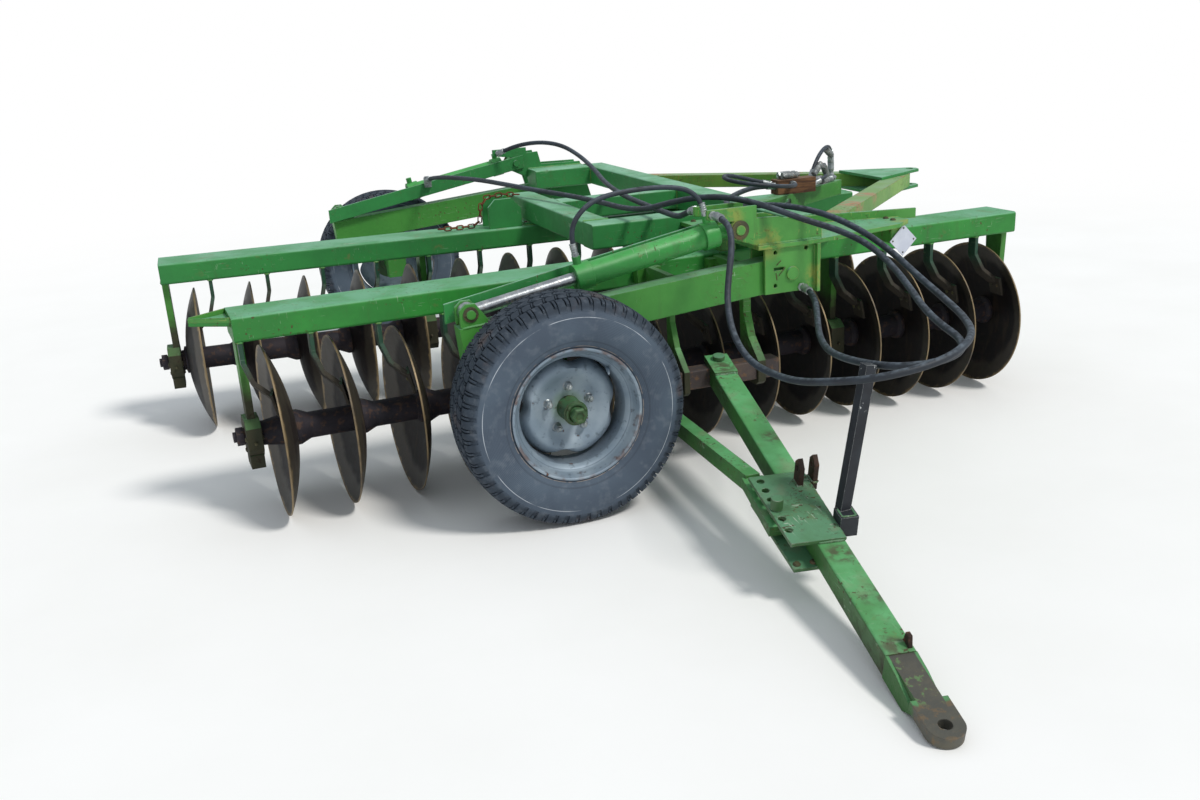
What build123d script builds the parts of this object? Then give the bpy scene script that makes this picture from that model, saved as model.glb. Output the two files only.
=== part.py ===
from build123d import *
import math
import os

# Offset disc harrow, trailed. Millimetres, +Z up, floor at z = 0.
# Drawing axes: X along the frame to the transport tongue, -Y towards the working drawbar.

# driving dimensions
DISC_D = 560.0          # disc diameter
DISC_T = 5.5            # disc thickness
DISC_DEPTH = 62.0       # how deep the discs are dished
DISC_FLAT_R = 60.0      # flat centre of a disc
DISC_N = 14             # discs on each gang
PITCH = 215.0           # disc spacing
SPOOL_R = 43.0          # spool tube radius
BORE_R = 17.0           # gang bolt radius
FLARE_R = 58.0          # spool end radius
BEAM_W = 180.0          # gang beam width
BEAM_H = 80.0           # gang beam height
BEAM_Z = 602.0          # underside of the gang beams
FRONT_ANGLE = 2.3       # front gang, degrees from X
REAR_ANGLE = -2.2       # rear gang, degrees from X
REAR_X = -210.0         # centre of the first rear disc
REAR_Y = 1110.0
TYRE_R = 358.0          # tyre outer radius
TYRE_W = 225.0          # tyre width
RIM_R = 207.0           # rim flange radius
WHEEL_X = 848.0         # both wheel centres
FRONT_WHEEL_Y = -475.0
REAR_WHEEL_Y = 2326.0
PIVOT_X = 1690.0        # wheel arm pivot
PIVOT_Z = 654.0
ARM_W = 72.0            # wheel arm tube width
ARM_H = 110.0           # wheel arm tube height
FRONT_ARM_Y = -314.0    # front arm centre
REAR_ARM_Y = 2150.0     # rear arm centre
EYE_PIN_R = 14.2        # pin in the rod's eye
EYE_BORE_R = 16.6       # leaves room for the eye's drift
ROD_X = 600.0           # cylinder rod pin on the arm
ROD_Z = 655.0
BASE_X = 1500.0         # cylinder base pin on the tower
BASE_Z = 815.0
RAIL_W = 106.0          # frame rail width
RAIL_H = 90.0           # frame rail height
PAD = 10.0              # pads between beams and rails

BEAM_TOP = BEAM_Z + BEAM_H
AXIS_Z = DISC_D / 2
GANG_LEN = PITCH * (DISC_N - 1)

parts = {}


def add(name, *shapes):
    """Collect the solids of one named piece."""
    solids = []
    for shape in shapes:
        solids += list(shape.solids())
    parts.setdefault(name, [])
    parts[name] += solids


def box(x0, x1, y0, y1, z0, z1):
    size = Box(abs(x1 - x0), abs(y1 - y0), abs(z1 - z0))
    return Pos((x0 + x1) / 2, (y0 + y1) / 2, (z0 + z1) / 2) * size


def beam(p, q, w, h):
    """Rectangular bar from p to q, w across, h upright."""
    a = Vector(*p)
    d = Vector(*q) - a
    side = Vector(d.Y, -d.X, 0)
    if side.length < 1e-6:
        side = Vector(1, 0, 0)
    plane = Plane(origin=a, x_dir=side, z_dir=d)
    return extrude(plane * Rectangle(w, h), d.length)


def rod(p, q, r):
    a = Vector(*p)
    d = Vector(*q) - a
    return extrude(Plane(origin=a, z_dir=d) * Circle(r), d.length)


def ring(p, q, r, bore):
    return rod(p, q, r) - rod(p, q, bore)


def plate_xz(points, y0, y1):
    """Plate with its outline in X and Z, between two Y values."""
    low = min(y0, y1)
    face = make_face(Polyline(*[(x, low, z) for x, z in points], close=True))
    return extrude(face, abs(y1 - y0), dir=(0, 1, 0))


def plate_xy(points, z0, z1):
    low = min(z0, z1)
    face = make_face(Polyline(*[(x, y, low) for x, y in points], close=True))
    return extrude(face, abs(z1 - z0), dir=(0, 0, 1))


def plate_yz(points, x0, x1):
    low = min(x0, x1)
    face = make_face(Polyline(*[(low, y, z) for y, z in points], close=True))
    return extrude(face, abs(x1 - x0), dir=(1, 0, 0))


def lathe_x(points):
    """Turn a closed outline of (x, r) about the X axis."""
    face = make_face(Polyline(*[(x, 0, r) for x, r in points], close=True))
    return revolve(face, Axis.X)


def lathe_y(points):
    """Turn a closed outline of (y, r) about the Y axis."""
    face = make_face(Polyline(*[(0, y, r) for y, r in points], close=True))
    return revolve(face, Axis.Y)


# gangs
FRONT = Location((DISC_DEPTH, 2.5, 0), (0, 0, FRONT_ANGLE))
REAR = Location((REAR_X, REAR_Y, 0), (0, 0, REAR_ANGLE))
SPHERE_R = ((DISC_D / 2) ** 2 - DISC_FLAT_R ** 2 + DISC_DEPTH ** 2) / (2 * DISC_DEPTH)


def disc(x, facing):
    """Dished disc. facing -1: hollow side towards -X; +1: towards +X."""
    rim = DISC_D / 2
    mid = (rim + DISC_FLAT_R) / 2

    def sag(r):
        flat = math.sqrt(SPHERE_R ** 2 - DISC_FLAT_R ** 2)
        return flat - math.sqrt(SPHERE_R ** 2 - r * r)

    s = facing
    outline = [
        Line((0, 0, BORE_R), (0, 0, DISC_FLAT_R)),
        ThreePointArc((0, 0, DISC_FLAT_R), (s * sag(mid), 0, mid), (s * sag(rim), 0, rim)),
        Line((s * sag(rim), 0, rim), (s * (sag(rim) - DISC_T * 0.9), 0, rim)),
        ThreePointArc(
            (s * (sag(rim) - DISC_T * 0.9), 0, rim),
            (s * (sag(mid) - DISC_T), 0, mid),
            (-s * DISC_T, 0, DISC_FLAT_R),
        ),
        Line((-s * DISC_T, 0, DISC_FLAT_R), (-s * DISC_T, 0, BORE_R)),
        Line((-s * DISC_T, 0, BORE_R), (0, 0, BORE_R)),
    ]
    body = revolve(make_face(Wire(outline)), Axis.X)
    return Pos(x, 0, AXIS_Z) * body


def spool(x0, x1, facing):
    """Tube between two discs with a flared end against the bulged side."""
    f = FLARE_R
    r = SPOOL_R
    rows = [(x0, BORE_R), (x0, f), (x0 + 14, f), (x0 + 48, r)]
    rows += [(x1 - 22, r), (x1 - 12, f - 4), (x1, f - 4), (x1, BORE_R)]
    if facing > 0:
        rows = [(x0 + x1 - x, rr) for x, rr in rows]
    return Pos(0, 0, AXIS_Z) * lathe_x(rows)


def gang(prefix, place, facing, hang_at):
    discs = []
    turning = []
    # hollow side at the disc's own x, bulged side one thickness further
    for k in range(DISC_N):
        discs.append(disc(k * PITCH, facing))
    for k in range(DISC_N - 1):
        if facing < 0:
            turning.append(spool(k * PITCH + DISC_T, (k + 1) * PITCH, facing))
        else:
            turning.append(spool(k * PITCH, (k + 1) * PITCH - DISC_T, facing))
    lo = 0 if facing < 0 else -DISC_T
    hi = GANG_LEN + (DISC_T if facing < 0 else 0)
    ends = []
    # the collar is long on the hollow side, short on the bulged side
    for x, s, hollow in ((lo, -1, facing < 0), (hi, 1, facing > 0)):
        c = 100 if hollow else 20
        f = FLARE_R - 4
        ends.append(Pos(0, 0, AXIS_Z) * lathe_x(
            [(x, BORE_R), (x, f), (x + s * 8, f), (x + s * (c - 8), 40), (x + s * c, 40), (x + s * c, 26),
             (x + s * (c + 56), 26), (x + s * (c + 56), BORE_R)]))
        nut = Plane(origin=(x + s * (c + 56), 0, AXIS_Z), z_dir=(s, 0, 0)) * RegularPolygon(31, 6)
        ends.append(extrude(nut, 22) - rod((x - 300, 0, AXIS_Z), (x + 300, 0, AXIS_Z), BORE_R))
        if s < 0:
            bolt_lo = x - c - 88
        else:
            bolt_hi = x + c + 88
    bolt = rod((bolt_lo, 0, AXIS_Z), (bolt_hi, 0, AXIS_Z), BORE_R)
    add(prefix + "_spools", *[place * s for s in turning + ends + [bolt]])
    add(prefix + "_discs", *[place * d for d in discs])
    # hangers with their bearing housings
    hang = []
    for x, kind, leg_x in hang_at:
        if kind == "end":
            bore = 26.15
            half = 24
            out = 62
        else:
            bore = SPOOL_R + 0.15
            half = 28
            out = 74
        housing = Pos(x, 0, AXIS_Z) * Box(2 * half, 2 * out, 2 * out)
        housing = chamfer(housing.edges().filter_by(Axis.X), 26)
        housing -= rod((x - 60, 0, AXIS_Z), (x + 60, 0, AXIS_Z), bore)
        leg = plate_yz(
            [(-46, BEAM_Z), (46, BEAM_Z), (34, AXIS_Z + out - 14), (-34, AXIS_Z + out - 14)],
            leg_x - 12, leg_x + 12)
        if kind == "end":
            housing += box(x - 22, x + 22, -44, 44, AXIS_Z - out - 40, AXIS_Z - out + 4)
        hang.append(leg + housing)
    add(prefix + "_hangers", *[place * h for h in hang])


def scraper(k, facing, side):
    """Bent bar from the beam to the hollow face of disc k."""
    x = k * PITCH
    s = facing
    y = side * 66
    pts = [(x + s * 128, y, BEAM_Z), (x + s * 128, y, BEAM_Z - 70)]
    pts += [(x + s * 108, side * 92, 470), (x + s * 58, side * 118, 424)]
    line = FilletPolyline(*pts, radius=26)
    start = Plane(origin=line @ 0, x_dir=(1, 0, 0), z_dir=line % 0)
    bar = sweep(start * Rectangle(14, 40), path=line)
    tip = Pos(x + s * 54, side * 122, 410) * Rot(0, 0, -side * s * 11) * Rot(0, s * 12, 0) * Box(9, 84, 70)
    return [bar + tip]


NEAR = DISC_T + 20 + 27
FAR = 100 + 27
MID_4 = 4 * PITCH + 107
MID_5 = 5 * PITCH + 107
MID_9 = 9 * PITCH + 107
FRONT_HANG = (
    (-FAR, "end", -FAR),
    (MID_5, "mid", MID_5),
    (MID_9, "mid", MID_9),
    (GANG_LEN + NEAR, "end", GANG_LEN + NEAR - 12),
)
REAR_HANG = (
    (-NEAR, "end", -NEAR + 12),
    (MID_4, "mid", MID_4),
    (MID_9, "mid", MID_9),
    (GANG_LEN + FAR, "end", GANG_LEN + FAR),
)
gang("front", FRONT, -1, FRONT_HANG)
gang("rear", REAR, 1, REAR_HANG)


def gang_beam(x0, x1):
    body = box(x0, x1, -BEAM_W / 2, BEAM_W / 2, BEAM_Z, BEAM_TOP)
    return fillet(body.edges().filter_by(Axis.X), 10)


add("front_beam", FRONT * gang_beam(-144, GANG_LEN + NEAR))
add("rear_beam", REAR * gang_beam(-NEAR, GANG_LEN + FAR + 20))

front_skip = (6, 10)
rear_skip = (5, 10)
front_scrapers = []
rear_scrapers = []
for k in range(DISC_N):
    front_scrapers += scraper(k, -1, -1)
    rear_scrapers += scraper(k, 1, -1)
add("front_scrapers", *[FRONT * s for s in front_scrapers])
add("rear_scrapers", *[REAR * s for s in rear_scrapers])

# frame
LEFT_RAIL_X = 1266.0
RC_IN_Y = REAR_ARM_Y - ARM_W / 2 - 17
RIGHT_RAIL_X = 1905.0
rail_z0 = BEAM_TOP + PAD
rail_z1 = rail_z0 + RAIL_H


def tube_box(x0, x1, y0, y1, z0, z1, axis, r=8):
    return fillet(box(x0, x1, y0, y1, z0, z1).edges().filter_by(axis), r)


pads = []
for place, x in (
    (REAR, LEFT_RAIL_X - REAR_X),
    (REAR, RIGHT_RAIL_X - REAR_X),
    (FRONT, RIGHT_RAIL_X - DISC_DEPTH),
):
    pads.append(place * box(x - 70, x + 70, -72, 72, BEAM_TOP, BEAM_TOP + PAD))
left_rail = tube_box(LEFT_RAIL_X - 53, LEFT_RAIL_X + 53, 330, 1262, rail_z0, rail_z1, Axis.Y)
right_rail = tube_box(RIGHT_RAIL_X - 53, RIGHT_RAIL_X + 53, -58, 2060, rail_z0, rail_z1, Axis.Y)
add("frame_rails", left_rail + pads[0], right_rail + pads[1] + pads[2])
add("frame_cross",
    tube_box(LEFT_RAIL_X - 53, RIGHT_RAIL_X - 53, 224, 330, rail_z0, rail_z1, Axis.X),
    tube_box(LEFT_RAIL_X + 53, RIGHT_RAIL_X - 53, 900, 990, rail_z0 + 4, rail_z1 - 4, Axis.X))
add("frame_cross",
    tube_box(1560, RIGHT_RAIL_X - 53, 1960, RC_IN_Y, rail_z0, rail_z1, Axis.X))

# front carriage
DECK_Z = 744.0
CHEEK_T = 12.0
ARM_GAP = 5.0
FC_OUT = FRONT_ARM_Y - ARM_W / 2 - ARM_GAP
FC_IN = FRONT_ARM_Y + ARM_W / 2 + ARM_GAP
PIN_R = 22.0

box_plate = box(1590, 1774, FC_OUT - CHEEK_T, FC_OUT, 592, DECK_Z)
for hx, hz in ((1628, 728), (1742, 732), (1628, 618)):
    box_plate -= rod((hx, FC_OUT - 40, hz), (hx, FC_OUT + 20, hz), 7)
box_plate -= box(1622, 1660, FC_OUT - 40, FC_OUT + 20, 668, 678)
inner_plate = box(1590, 1774, FC_IN, FC_IN + CHEEK_T, 592, DECK_Z)
pivot_pin = rod((PIVOT_X, FC_OUT - CHEEK_T - 8, PIVOT_Z), (PIVOT_X, FC_IN + CHEEK_T + 8, PIVOT_Z), PIN_R)
flange = box(1774, 1786, FC_OUT - 30, FC_IN + CHEEK_T, 585, DECK_Z)
lug = plate_yz([(FC_IN, 592), (FC_IN + 60, 592), (FC_IN + 44, 520), (FC_IN + 16, 520)], 1696, 1708)
add("front_box", box_plate + inner_plate + flange + pivot_pin)
add("front_deck",
    plate_xy(
        [(1560, FC_OUT - CHEEK_T - 12), (1786, FC_OUT - CHEEK_T - 12), (2150, -300), (2225, -240),
         (2225, -165), (1786, -60), (1786, 224), (1560, 224)], DECK_Z, DECK_Z + 14),
    box(1600, 1660, -20, 150, BEAM_TOP, DECK_Z),
    beam((1792, -66, DECK_Z + 24), (2290, -186, DECK_Z + 24), 12, 34),
    box(2150, 2190, -250, 0, BEAM_TOP, DECK_Z))


def cheek(y0, y1):
    """Tower cheek that holds the cylinder's base pin."""
    z = DECK_Z + 14
    body = plate_xz([(BASE_X + 60, z), (BASE_X - 4, BASE_Z - 34), (BASE_X, BASE_Z + 34),
                     (1640, BASE_Z + 30), (1800, z + 34), (1800, z)], y0, y1)
    body += rod((BASE_X, y0, BASE_Z), (BASE_X, y1, BASE_Z), 34)
    return body


base_pin = rod((BASE_X, FC_OUT - CHEEK_T - 8, BASE_Z), (BASE_X, FC_IN + CHEEK_T + 24, BASE_Z), 16)
HOSE_PLATE = [(1385, 858), (1385, 888), (1560, 888), (1560, 836), (1508, 840)]
FITTING_X = 1402.0
FITTING_Z = 873.0
front_plates = plate_xz(HOSE_PLATE, FC_OUT - CHEEK_T, FC_OUT) + plate_xz(HOSE_PLATE, FC_IN, FC_IN + CHEEK_T)
front_tower = cheek(FC_OUT - CHEEK_T, FC_OUT) + cheek(FC_IN, FC_IN + CHEEK_T) + front_plates + base_pin
add("front_tower", front_tower)

# rear carrier bracket
RC_IN = REAR_ARM_Y - ARM_W / 2 - ARM_GAP
RC_OUT = REAR_ARM_Y + ARM_W / 2 + ARM_GAP


def rear_cheek(y0, y1):
    outline = [(BASE_X - 10, BASE_Z + 42), (BASE_X + 120, BASE_Z + 48), (BASE_X + 135, 800), (1845, 796)]
    outline += [(1905, 592), (1600, 592), (1560, 740), (BASE_X - 30, BASE_Z - 30)]
    return plate_xz(outline, y0, y1)


rear_block = box(1800, 1845, RC_IN, RC_OUT, 700, 780)
rear_pins = rod((PIVOT_X, RC_IN - CHEEK_T - 8, PIVOT_Z), (PIVOT_X, RC_OUT + CHEEK_T + 8, PIVOT_Z), PIN_R)
rear_pins += rod((BASE_X, RC_IN - CHEEK_T - 24, BASE_Z), (BASE_X, RC_OUT + CHEEK_T + 8, BASE_Z), 16)
rear_plate = plate_xz(HOSE_PLATE, RC_IN - CHEEK_T, RC_IN)
rear_cheeks = rear_cheek(RC_IN - CHEEK_T, RC_IN) + rear_cheek(RC_OUT, RC_OUT + CHEEK_T)
add("rear_tower", rear_cheeks + rear_plate + rear_block + rear_pins)

# wheel arms
ARM_END_X = 566.0
SLOPE = (PIVOT_Z - 562.0) / (PIVOT_X - 600.0)


def arm_z(x):
    return PIVOT_Z - (PIVOT_X - x) * SLOPE


SPINDLE_R = 24.0


def wheel_arm(name, y, wheel_y):
    s = -1 if wheel_y < y else 1
    body = beam((ARM_END_X, y, arm_z(ARM_END_X)), (PIVOT_X, y, PIVOT_Z), ARM_W, ARM_H)
    body += rod((PIVOT_X, y - ARM_W / 2, PIVOT_Z), (PIVOT_X, y + ARM_W / 2, PIVOT_Z), 56)
    body -= rod((PIVOT_X, y - 60, PIVOT_Z), (PIVOT_X, y + 60, PIVOT_Z), PIN_R + 0.1)
    drop = plate_xz([(WHEEL_X - 46, arm_z(WHEEL_X) - 40), (WHEEL_X + 54, arm_z(WHEEL_X) - 40),
                     (WHEEL_X + 44, TYRE_R - 50), (WHEEL_X - 44, TYRE_R - 50)], y - 27, y + 27)
    spindle = rod((WHEEL_X, y + s * 20, TYRE_R), (WHEEL_X, wheel_y - s * 30, TYRE_R), 33)
    spindle += rod((WHEEL_X, wheel_y - s * 40, TYRE_R), (WHEEL_X, wheel_y + s * 58, TYRE_R), SPINDLE_R)
    ears = []
    for e0, e1 in ((-34, -22), (22, 34)):
        ear_outline = [
            (ROD_X - 34, ROD_Z - 34),
            (ROD_X - 34, ROD_Z + 14),
            (ROD_X - 14, ROD_Z + 32),
            (ROD_X + 16, ROD_Z + 32),
            (ROD_X + 66, arm_z(ROD_X + 66) + 50),
            (ROD_X - 30, arm_z(ROD_X) + 48)]
        ear = plate_xz(ear_outline, y + e0, y + e1)
        ears.append(ear)
    body = body + drop + spindle + ears[0] + ears[1]
    body += rod((ROD_X, y - 44, ROD_Z), (ROD_X, y + 44, ROD_Z), EYE_PIN_R)
    add(name, body)


wheel_arm("front_arm", FRONT_ARM_Y, FRONT_WHEEL_Y)
wheel_arm("rear_arm", REAR_ARM_Y, REAR_WHEEL_Y)

# wheels


def tyre_shape():
    h = TYRE_W / 2
    R = TYRE_R
    outline = [
        Line((0, -70, 191.0), (0, -84, 199.9)),
        Line((0, -84, 199.9), (0, -89, 210)),
        ThreePointArc((0, -89, 210), (0, -h, 272), (0, -100, R - 26)),
        ThreePointArc((0, -100, R - 26), (0, -95, R - 12), (0, -84, R - 6)),
        ThreePointArc((0, -84, R - 6), (0, 0, R), (0, 84, R - 6)),
        ThreePointArc((0, 84, R - 6), (0, 95, R - 12), (0, 100, R - 26)),
        ThreePointArc((0, 100, R - 26), (0, h, 272), (0, 89, 210)),
        Line((0, 89, 210), (0, 84, 199.9)),
        Line((0, 84, 199.9), (0, 70, 191.0)),
        ThreePointArc((0, 70, 191.0), (0, 98, 262), (0, 70, R - 24)),
        Line((0, 70, R - 24), (0, -70, R - 24)),
        ThreePointArc((0, -70, R - 24), (0, -98, 262), (0, -70, 191.0)),
    ]
    return revolve(make_face(Wire(outline)), Axis.Y)


def wheel(prefix, y, s):
    """s is the side of the hub cap: -1 towards -Y."""
    place = Pos(WHEEL_X, y, TYRE_R)
    add(prefix + "_tyre", place * tyre_shape())
    rows = [(-96, 208), (-96, 198), (-86, 194), (-70, 189), (-62, 184), (-30, 167), (6, 163), (40, 172)]
    rows += [(62, 184), (70, 189), (86, 194), (96, 198), (96, 208), (93, 208), (92, 202), (84, 199.5)]
    rows += [(69, 190), (60, 188), (38, 176), (6, 168), (-28, 171), (-60, 188), (-69, 190)]
    rows += [(-84, 199.5), (-92, 202), (-93, 208)]
    rim = lathe_y([(s * across, radius) for across, radius in rows])
    face_rows = [(s * 4, 38), (s * 4, 112), (s * 12, 140), (s * 2, 163.5)]
    face_rows += [(s * -4, 163.5), (s * 5, 138), (s * -2, 111), (s * -2, 38)]
    face = lathe_y(face_rows)
    body = rim + face
    for i in range(5):
        a = math.radians(90 + 72 * i)
        cx = 69.85 * math.cos(a)
        cz = 69.85 * math.sin(a)
        nut = extrude(Plane(origin=(cx, s * 4, cz), z_dir=(0, s, 0)) * RegularPolygon(12, 6), 18)
        body += nut
    add(prefix + "_rim", place * body)
    bore = SPINDLE_R + 0.1
    hub_rows = [(s * -30, bore), (s * -30, 50), (s * -8, 50), (s * -8, 84), (s * -2, 84), (s * -2, 37.5)]
    hub_rows += [(s * 4, 37.5), (s * 4, 38), (s * 66, 36), (s * 74, 30), (s * 76, 22)]
    hub_rows += [(s * 104, 20), (s * 104, 0), (s * 60, 0), (s * 60, bore)]
    hub = lathe_y(hub_rows)
    add(prefix + "_hub", place * hub)


wheel("front_wheel", FRONT_WHEEL_Y, -1)
wheel("rear_wheel", REAR_WHEEL_Y, 1)

# lift cylinders
CYL_LEN = math.hypot(BASE_X - ROD_X, BASE_Z - ROD_Z)
CYL_ANGLE = math.degrees(math.atan2(BASE_Z - ROD_Z, BASE_X - ROD_X))


def cylinder(prefix, y, inner):
    """Barrel from the base pin, rod out to the eye at the arm's ears."""
    place = Location((BASE_X, y, BASE_Z), (0, -CYL_ANGLE, 0))
    eye = rod((0, -20, 0), (0, 20, 0), 30)
    neck = rod((-20, 0, 0), (-70, 0, 0), 22)
    cap = rod((-62, 0, 0), (-112, 0, 0), 44)
    barrel = ring((-100, 0, 0), (-520, 0, 0), 37, 30)
    gland = ring((-505, 0, 0), (-560, 0, 0), 43, 20.1)
    body = (eye + neck + cap) + barrel + gland
    body -= rod((0, -40, 0), (0, 40, 0), 16.1)
    for px in (-86, -540):
        body += rod((px, 0, 30), (px, 0, 66), 13)
    add(prefix + "_barrel", place * body)
    stick = rod((-CYL_LEN + 24, 0, 0), (-470, 0, 0), 20)
    piston = rod((-470, 0, 0), (-440, 0, 0), 29.6)
    tip = rod((-CYL_LEN, -20, 0), (-CYL_LEN, 20, 0), 30)
    tip -= rod((-CYL_LEN, -40, 0), (-CYL_LEN, 40, 0), EYE_BORE_R)
    add(prefix + "_rod", place * (stick + piston + tip))


cylinder("front_cylinder", FRONT_ARM_Y, 1)
cylinder("rear_cylinder", REAR_ARM_Y, -1)

# working drawbar
HINGE_Y = -332.0
HINGE_Z = 339.0
CROSS = 64.0
TRUNNION_R = 22.0
BAR_W = 78.0
BAR_H = 66.0
TAIL = Vector(1424, -366, 344)
EYE_LINE = Vector(1140, -1980, 9.1)
BAR_LEN = (EYE_LINE - TAIL).length
BAR = Plane(
    origin=TAIL,
    x_dir=EYE_LINE - TAIL,
    z_dir=(EYE_LINE - TAIL).cross(Vector(0, 0, 1)).cross(EYE_LINE - TAIL),
).location
half_c = CROSS / 2
cross = []
for x0, x1 in ((1216, 1286), (1312, 1558), (1592, 1642)):
    low, high = HINGE_Z - half_c, HINGE_Z + half_c
    cross.append(tube_box(x0, x1, HINGE_Y - half_c, HINGE_Y + half_c, low, high, Axis.X, 5))
trunnion = rod((1260, HINGE_Y, HINGE_Z), (1600, HINGE_Y, HINGE_Z), TRUNNION_R)
tail_hole = BAR * (Pos(-33, 0, 0) * Cylinder(13, 200))
add("drawbar_cross", cross[0] + trunnion + cross[1] + cross[2] - tail_hole)


def hanger(x0, x1):
    yb = FRONT_ANGLE / 57.3 * (x0 - DISC_DEPTH) - BEAM_W / 2 - 12
    body = plate_yz(
        [(yb, BEAM_TOP - 6), (-266, BEAM_TOP - 6), (-266, 520), (-300, 440), (-372, 372), (-372, 300),
         (-352, 286), (-300, 286), (-246, 330), (-236, BEAM_Z + 8), (yb, BEAM_Z + 8)], x0, x1)
    body -= rod((x0 - 5, HINGE_Y, HINGE_Z), (x1 + 5, HINGE_Y, HINGE_Z), TRUNNION_R + 0.1)
    xc = (x0 + x1) / 2 - DISC_DEPTH
    pad = FRONT * box(xc - 45, xc + 45, -BEAM_W / 2 - 36, -BEAM_W / 2 - 0.1, BEAM_Z + 14, BEAM_TOP - 14)
    return body + pad


add("drawbar_hangers", hanger(1289, 1309), hanger(1561, 1589))

# bar in its own axes: x along, y to the right, z up
SLOT_X = BAR_LEN - 226
bar = Pos(SLOT_X / 2 - 20, 0, 0) * Box(SLOT_X + 40, BAR_W, BAR_H)
bar = fillet(bar.edges().filter_by(Axis.X), 6)
tail_plate = Pos(-6, 0, BAR_H / 2 - 2) * Box(128, BAR_W, 20)
bar = BAR * (bar + tail_plate)
bar -= box(1300, 1560, HINGE_Y - half_c, HINGE_Y + 100, 200, HINGE_Z + half_c)
bar -= tail_hole
add("drawbar_bar", bar)
cheeks = []
for y in (-BAR_W / 2 + 4, BAR_W / 2 - 4):
    outline = [(SLOT_X, BAR_H / 2 - 2), (SLOT_X + 60, 26), (SLOT_X + 150, 6)]
    outline += [(SLOT_X + 150, -8), (SLOT_X + 110, -BAR_H / 2), (SLOT_X, -BAR_H / 2)]
    cheeks.append(plate_xz(outline, y - 4, y + 4))
eye = Pos(SLOT_X + 105, 0, 16) * Box(210, BAR_W - 16, 28)
eye_tip = Pos(BAR_LEN, 0, 16) * Cylinder(44, 28) + Pos(BAR_LEN - 40, 0, 16) * Box(80, 88, 28)
eye_hole = Pos(BAR_LEN, 0, 16) * Cylinder(16, 60)
add("drawbar_eye", BAR * (eye + eye_tip + cheeks[0] + cheeks[1] - eye_hole))
top_outline = [(684, -122), (684, 39), (1010, 39), (1010, -110), (700, -122)]
plate_top = plate_xy(top_outline, BAR_H / 2, BAR_H / 2 + 10)
plate_low = plate_xy([(700, -116), (700, 30), (1020, 30), (1020, -100)], -BAR_H / 2 - 10, -BAR_H / 2)
HOLES = (712, 758, 804, 896, 950)
for hx in HOLES:
    plate_top -= Pos(hx, -96, 40) * Cylinder(11, 60)
PIN_AT = (850, -96)
plate_top -= Pos(*PIN_AT, 0) * Cylinder(13, 300)
plate_low -= Pos(*PIN_AT, 0) * Cylinder(13, 300)
add("drawbar_plates", BAR * plate_top, BAR * plate_low)
add("drawbar_pins",
    BAR * Pos(*PIN_AT, 0) * (Pos(0, 0, 6) * Cylinder(13, 96) + Pos(0, 0, 62) * Cylinder(17, 34)),
    BAR * (Pos(-33, 0, 12) * Cylinder(13, 84) + Pos(-33, 0, 50) * Cylinder(20, 12)))
lugs = []
for ly, lx in ((4, 740), (50, 728)):
    lug = plate_xz([(lx - 20, 43), (lx + 20, 43), (lx + 22, 100), (lx, 122), (lx - 18, 104)], ly - 7, ly + 7)
    lugs.append(lug - rod((lx, ly - 20, 92), (lx, ly + 20, 92), 9))
lugs[1] = lugs[1] + plate_xz([(708, 20), (748, 20), (748, 46), (708, 46)], 39, 57)
lug3 = plate_xz([(1405, 33), (1436, 33), (1428, 62), (1412, 62)], 22, 32)
add("drawbar_lugs", BAR * lugs[0], BAR * lugs[1], BAR * lug3)
pin_pt = (BAR * Location((PIN_AT[0], PIN_AT[1], 0))).position
bracket = plate_xz([(1238, 300), (1286, 300), (1284, 176), (1240, 176)], HINGE_Y - 20, HINGE_Y + 20)
flat = BAR * (Pos(PIN_AT[0] - 85, PIN_AT[1], 0) * Box(250, 62, 30))
flat_end = (BAR * Location((PIN_AT[0] - 200, PIN_AT[1], 0))).position
brace = beam((1262, HINGE_Y, 204), (flat_end.X, flat_end.Y, flat_end.Z), 44, 50)
hole = BAR * (Pos(PIN_AT[0], PIN_AT[1], 0) * Cylinder(13, 120))
add("drawbar_brace", bracket + brace + flat - hole)
post_foot = (1322, -1276, 196)
post_top = (1394, -1276, 612)
post = beam(post_foot, post_top, 30, 30)
shoe = BAR * (Pos(940, 64, 40) * Box(52, 50, 60))
add("hose_post", post + shoe - parts["drawbar_bar"][0])

# transport tongue
TIP = (3010.0, 935.0)
TONGUE_Z = 713.0
leg1 = beam((1965, -47, TONGUE_Z), (2985, 910, TONGUE_Z), 80, 58)
leg2 = beam((1958, 1800, TONGUE_Z), (2985, 960, TONGUE_Z), 80, 58)
leg1 = leg1 - parts["frame_rails"][1]
leg2 = leg2 - leg1 - parts["frame_rails"][1]
add("tongue_legs", leg1, leg2)
link = beam((1948, 344, 751), (2492, 678, 751), 60, 60) - rod((2100, 380, 752), (2180, 560, 752), 14)
add("tongue_link", link - parts["frame_rails"][1])
tip_out = [(2780, 760), (3010, 872), (3072, 900), (3084, 935), (3072, 970), (3010, 998), (2780, 1112)]
tip = plate_xy(tip_out, TONGUE_Z + 29, TONGUE_Z + 41) + plate_xy(tip_out, TONGUE_Z - 41, TONGUE_Z - 29)
tip -= rod((3046, 935, TONGUE_Z - 60), (3046, 935, TONGUE_Z + 60), 17)
add("tongue_tip", tip)
add("coupler_block", box(2080, 2250, 430, 490, 781.1, 838))
tag = Location((2196, -254.6, 690), (0, 45, 0)) * Box(78, 2, 78)
add("tag", tag - parts["front_deck"][0])
add("beam_ear", FRONT * plate_xy([(-144, -70), (-144, 84), (-258, 30), (-262, 10)], 652, 664))
bracket_outline = [(1040, BEAM_TOP), (1180, BEAM_TOP), (1180, 760), (1140, 800), (1070, 800), (1040, 770)]
add("chain_bracket", plate_xz(bracket_outline, 985, 997), plate_xz(bracket_outline, 1085, 1097))
LINK_L = 36.0
LINK_W = 22.0
LINK_BAR = 5.0
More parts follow.
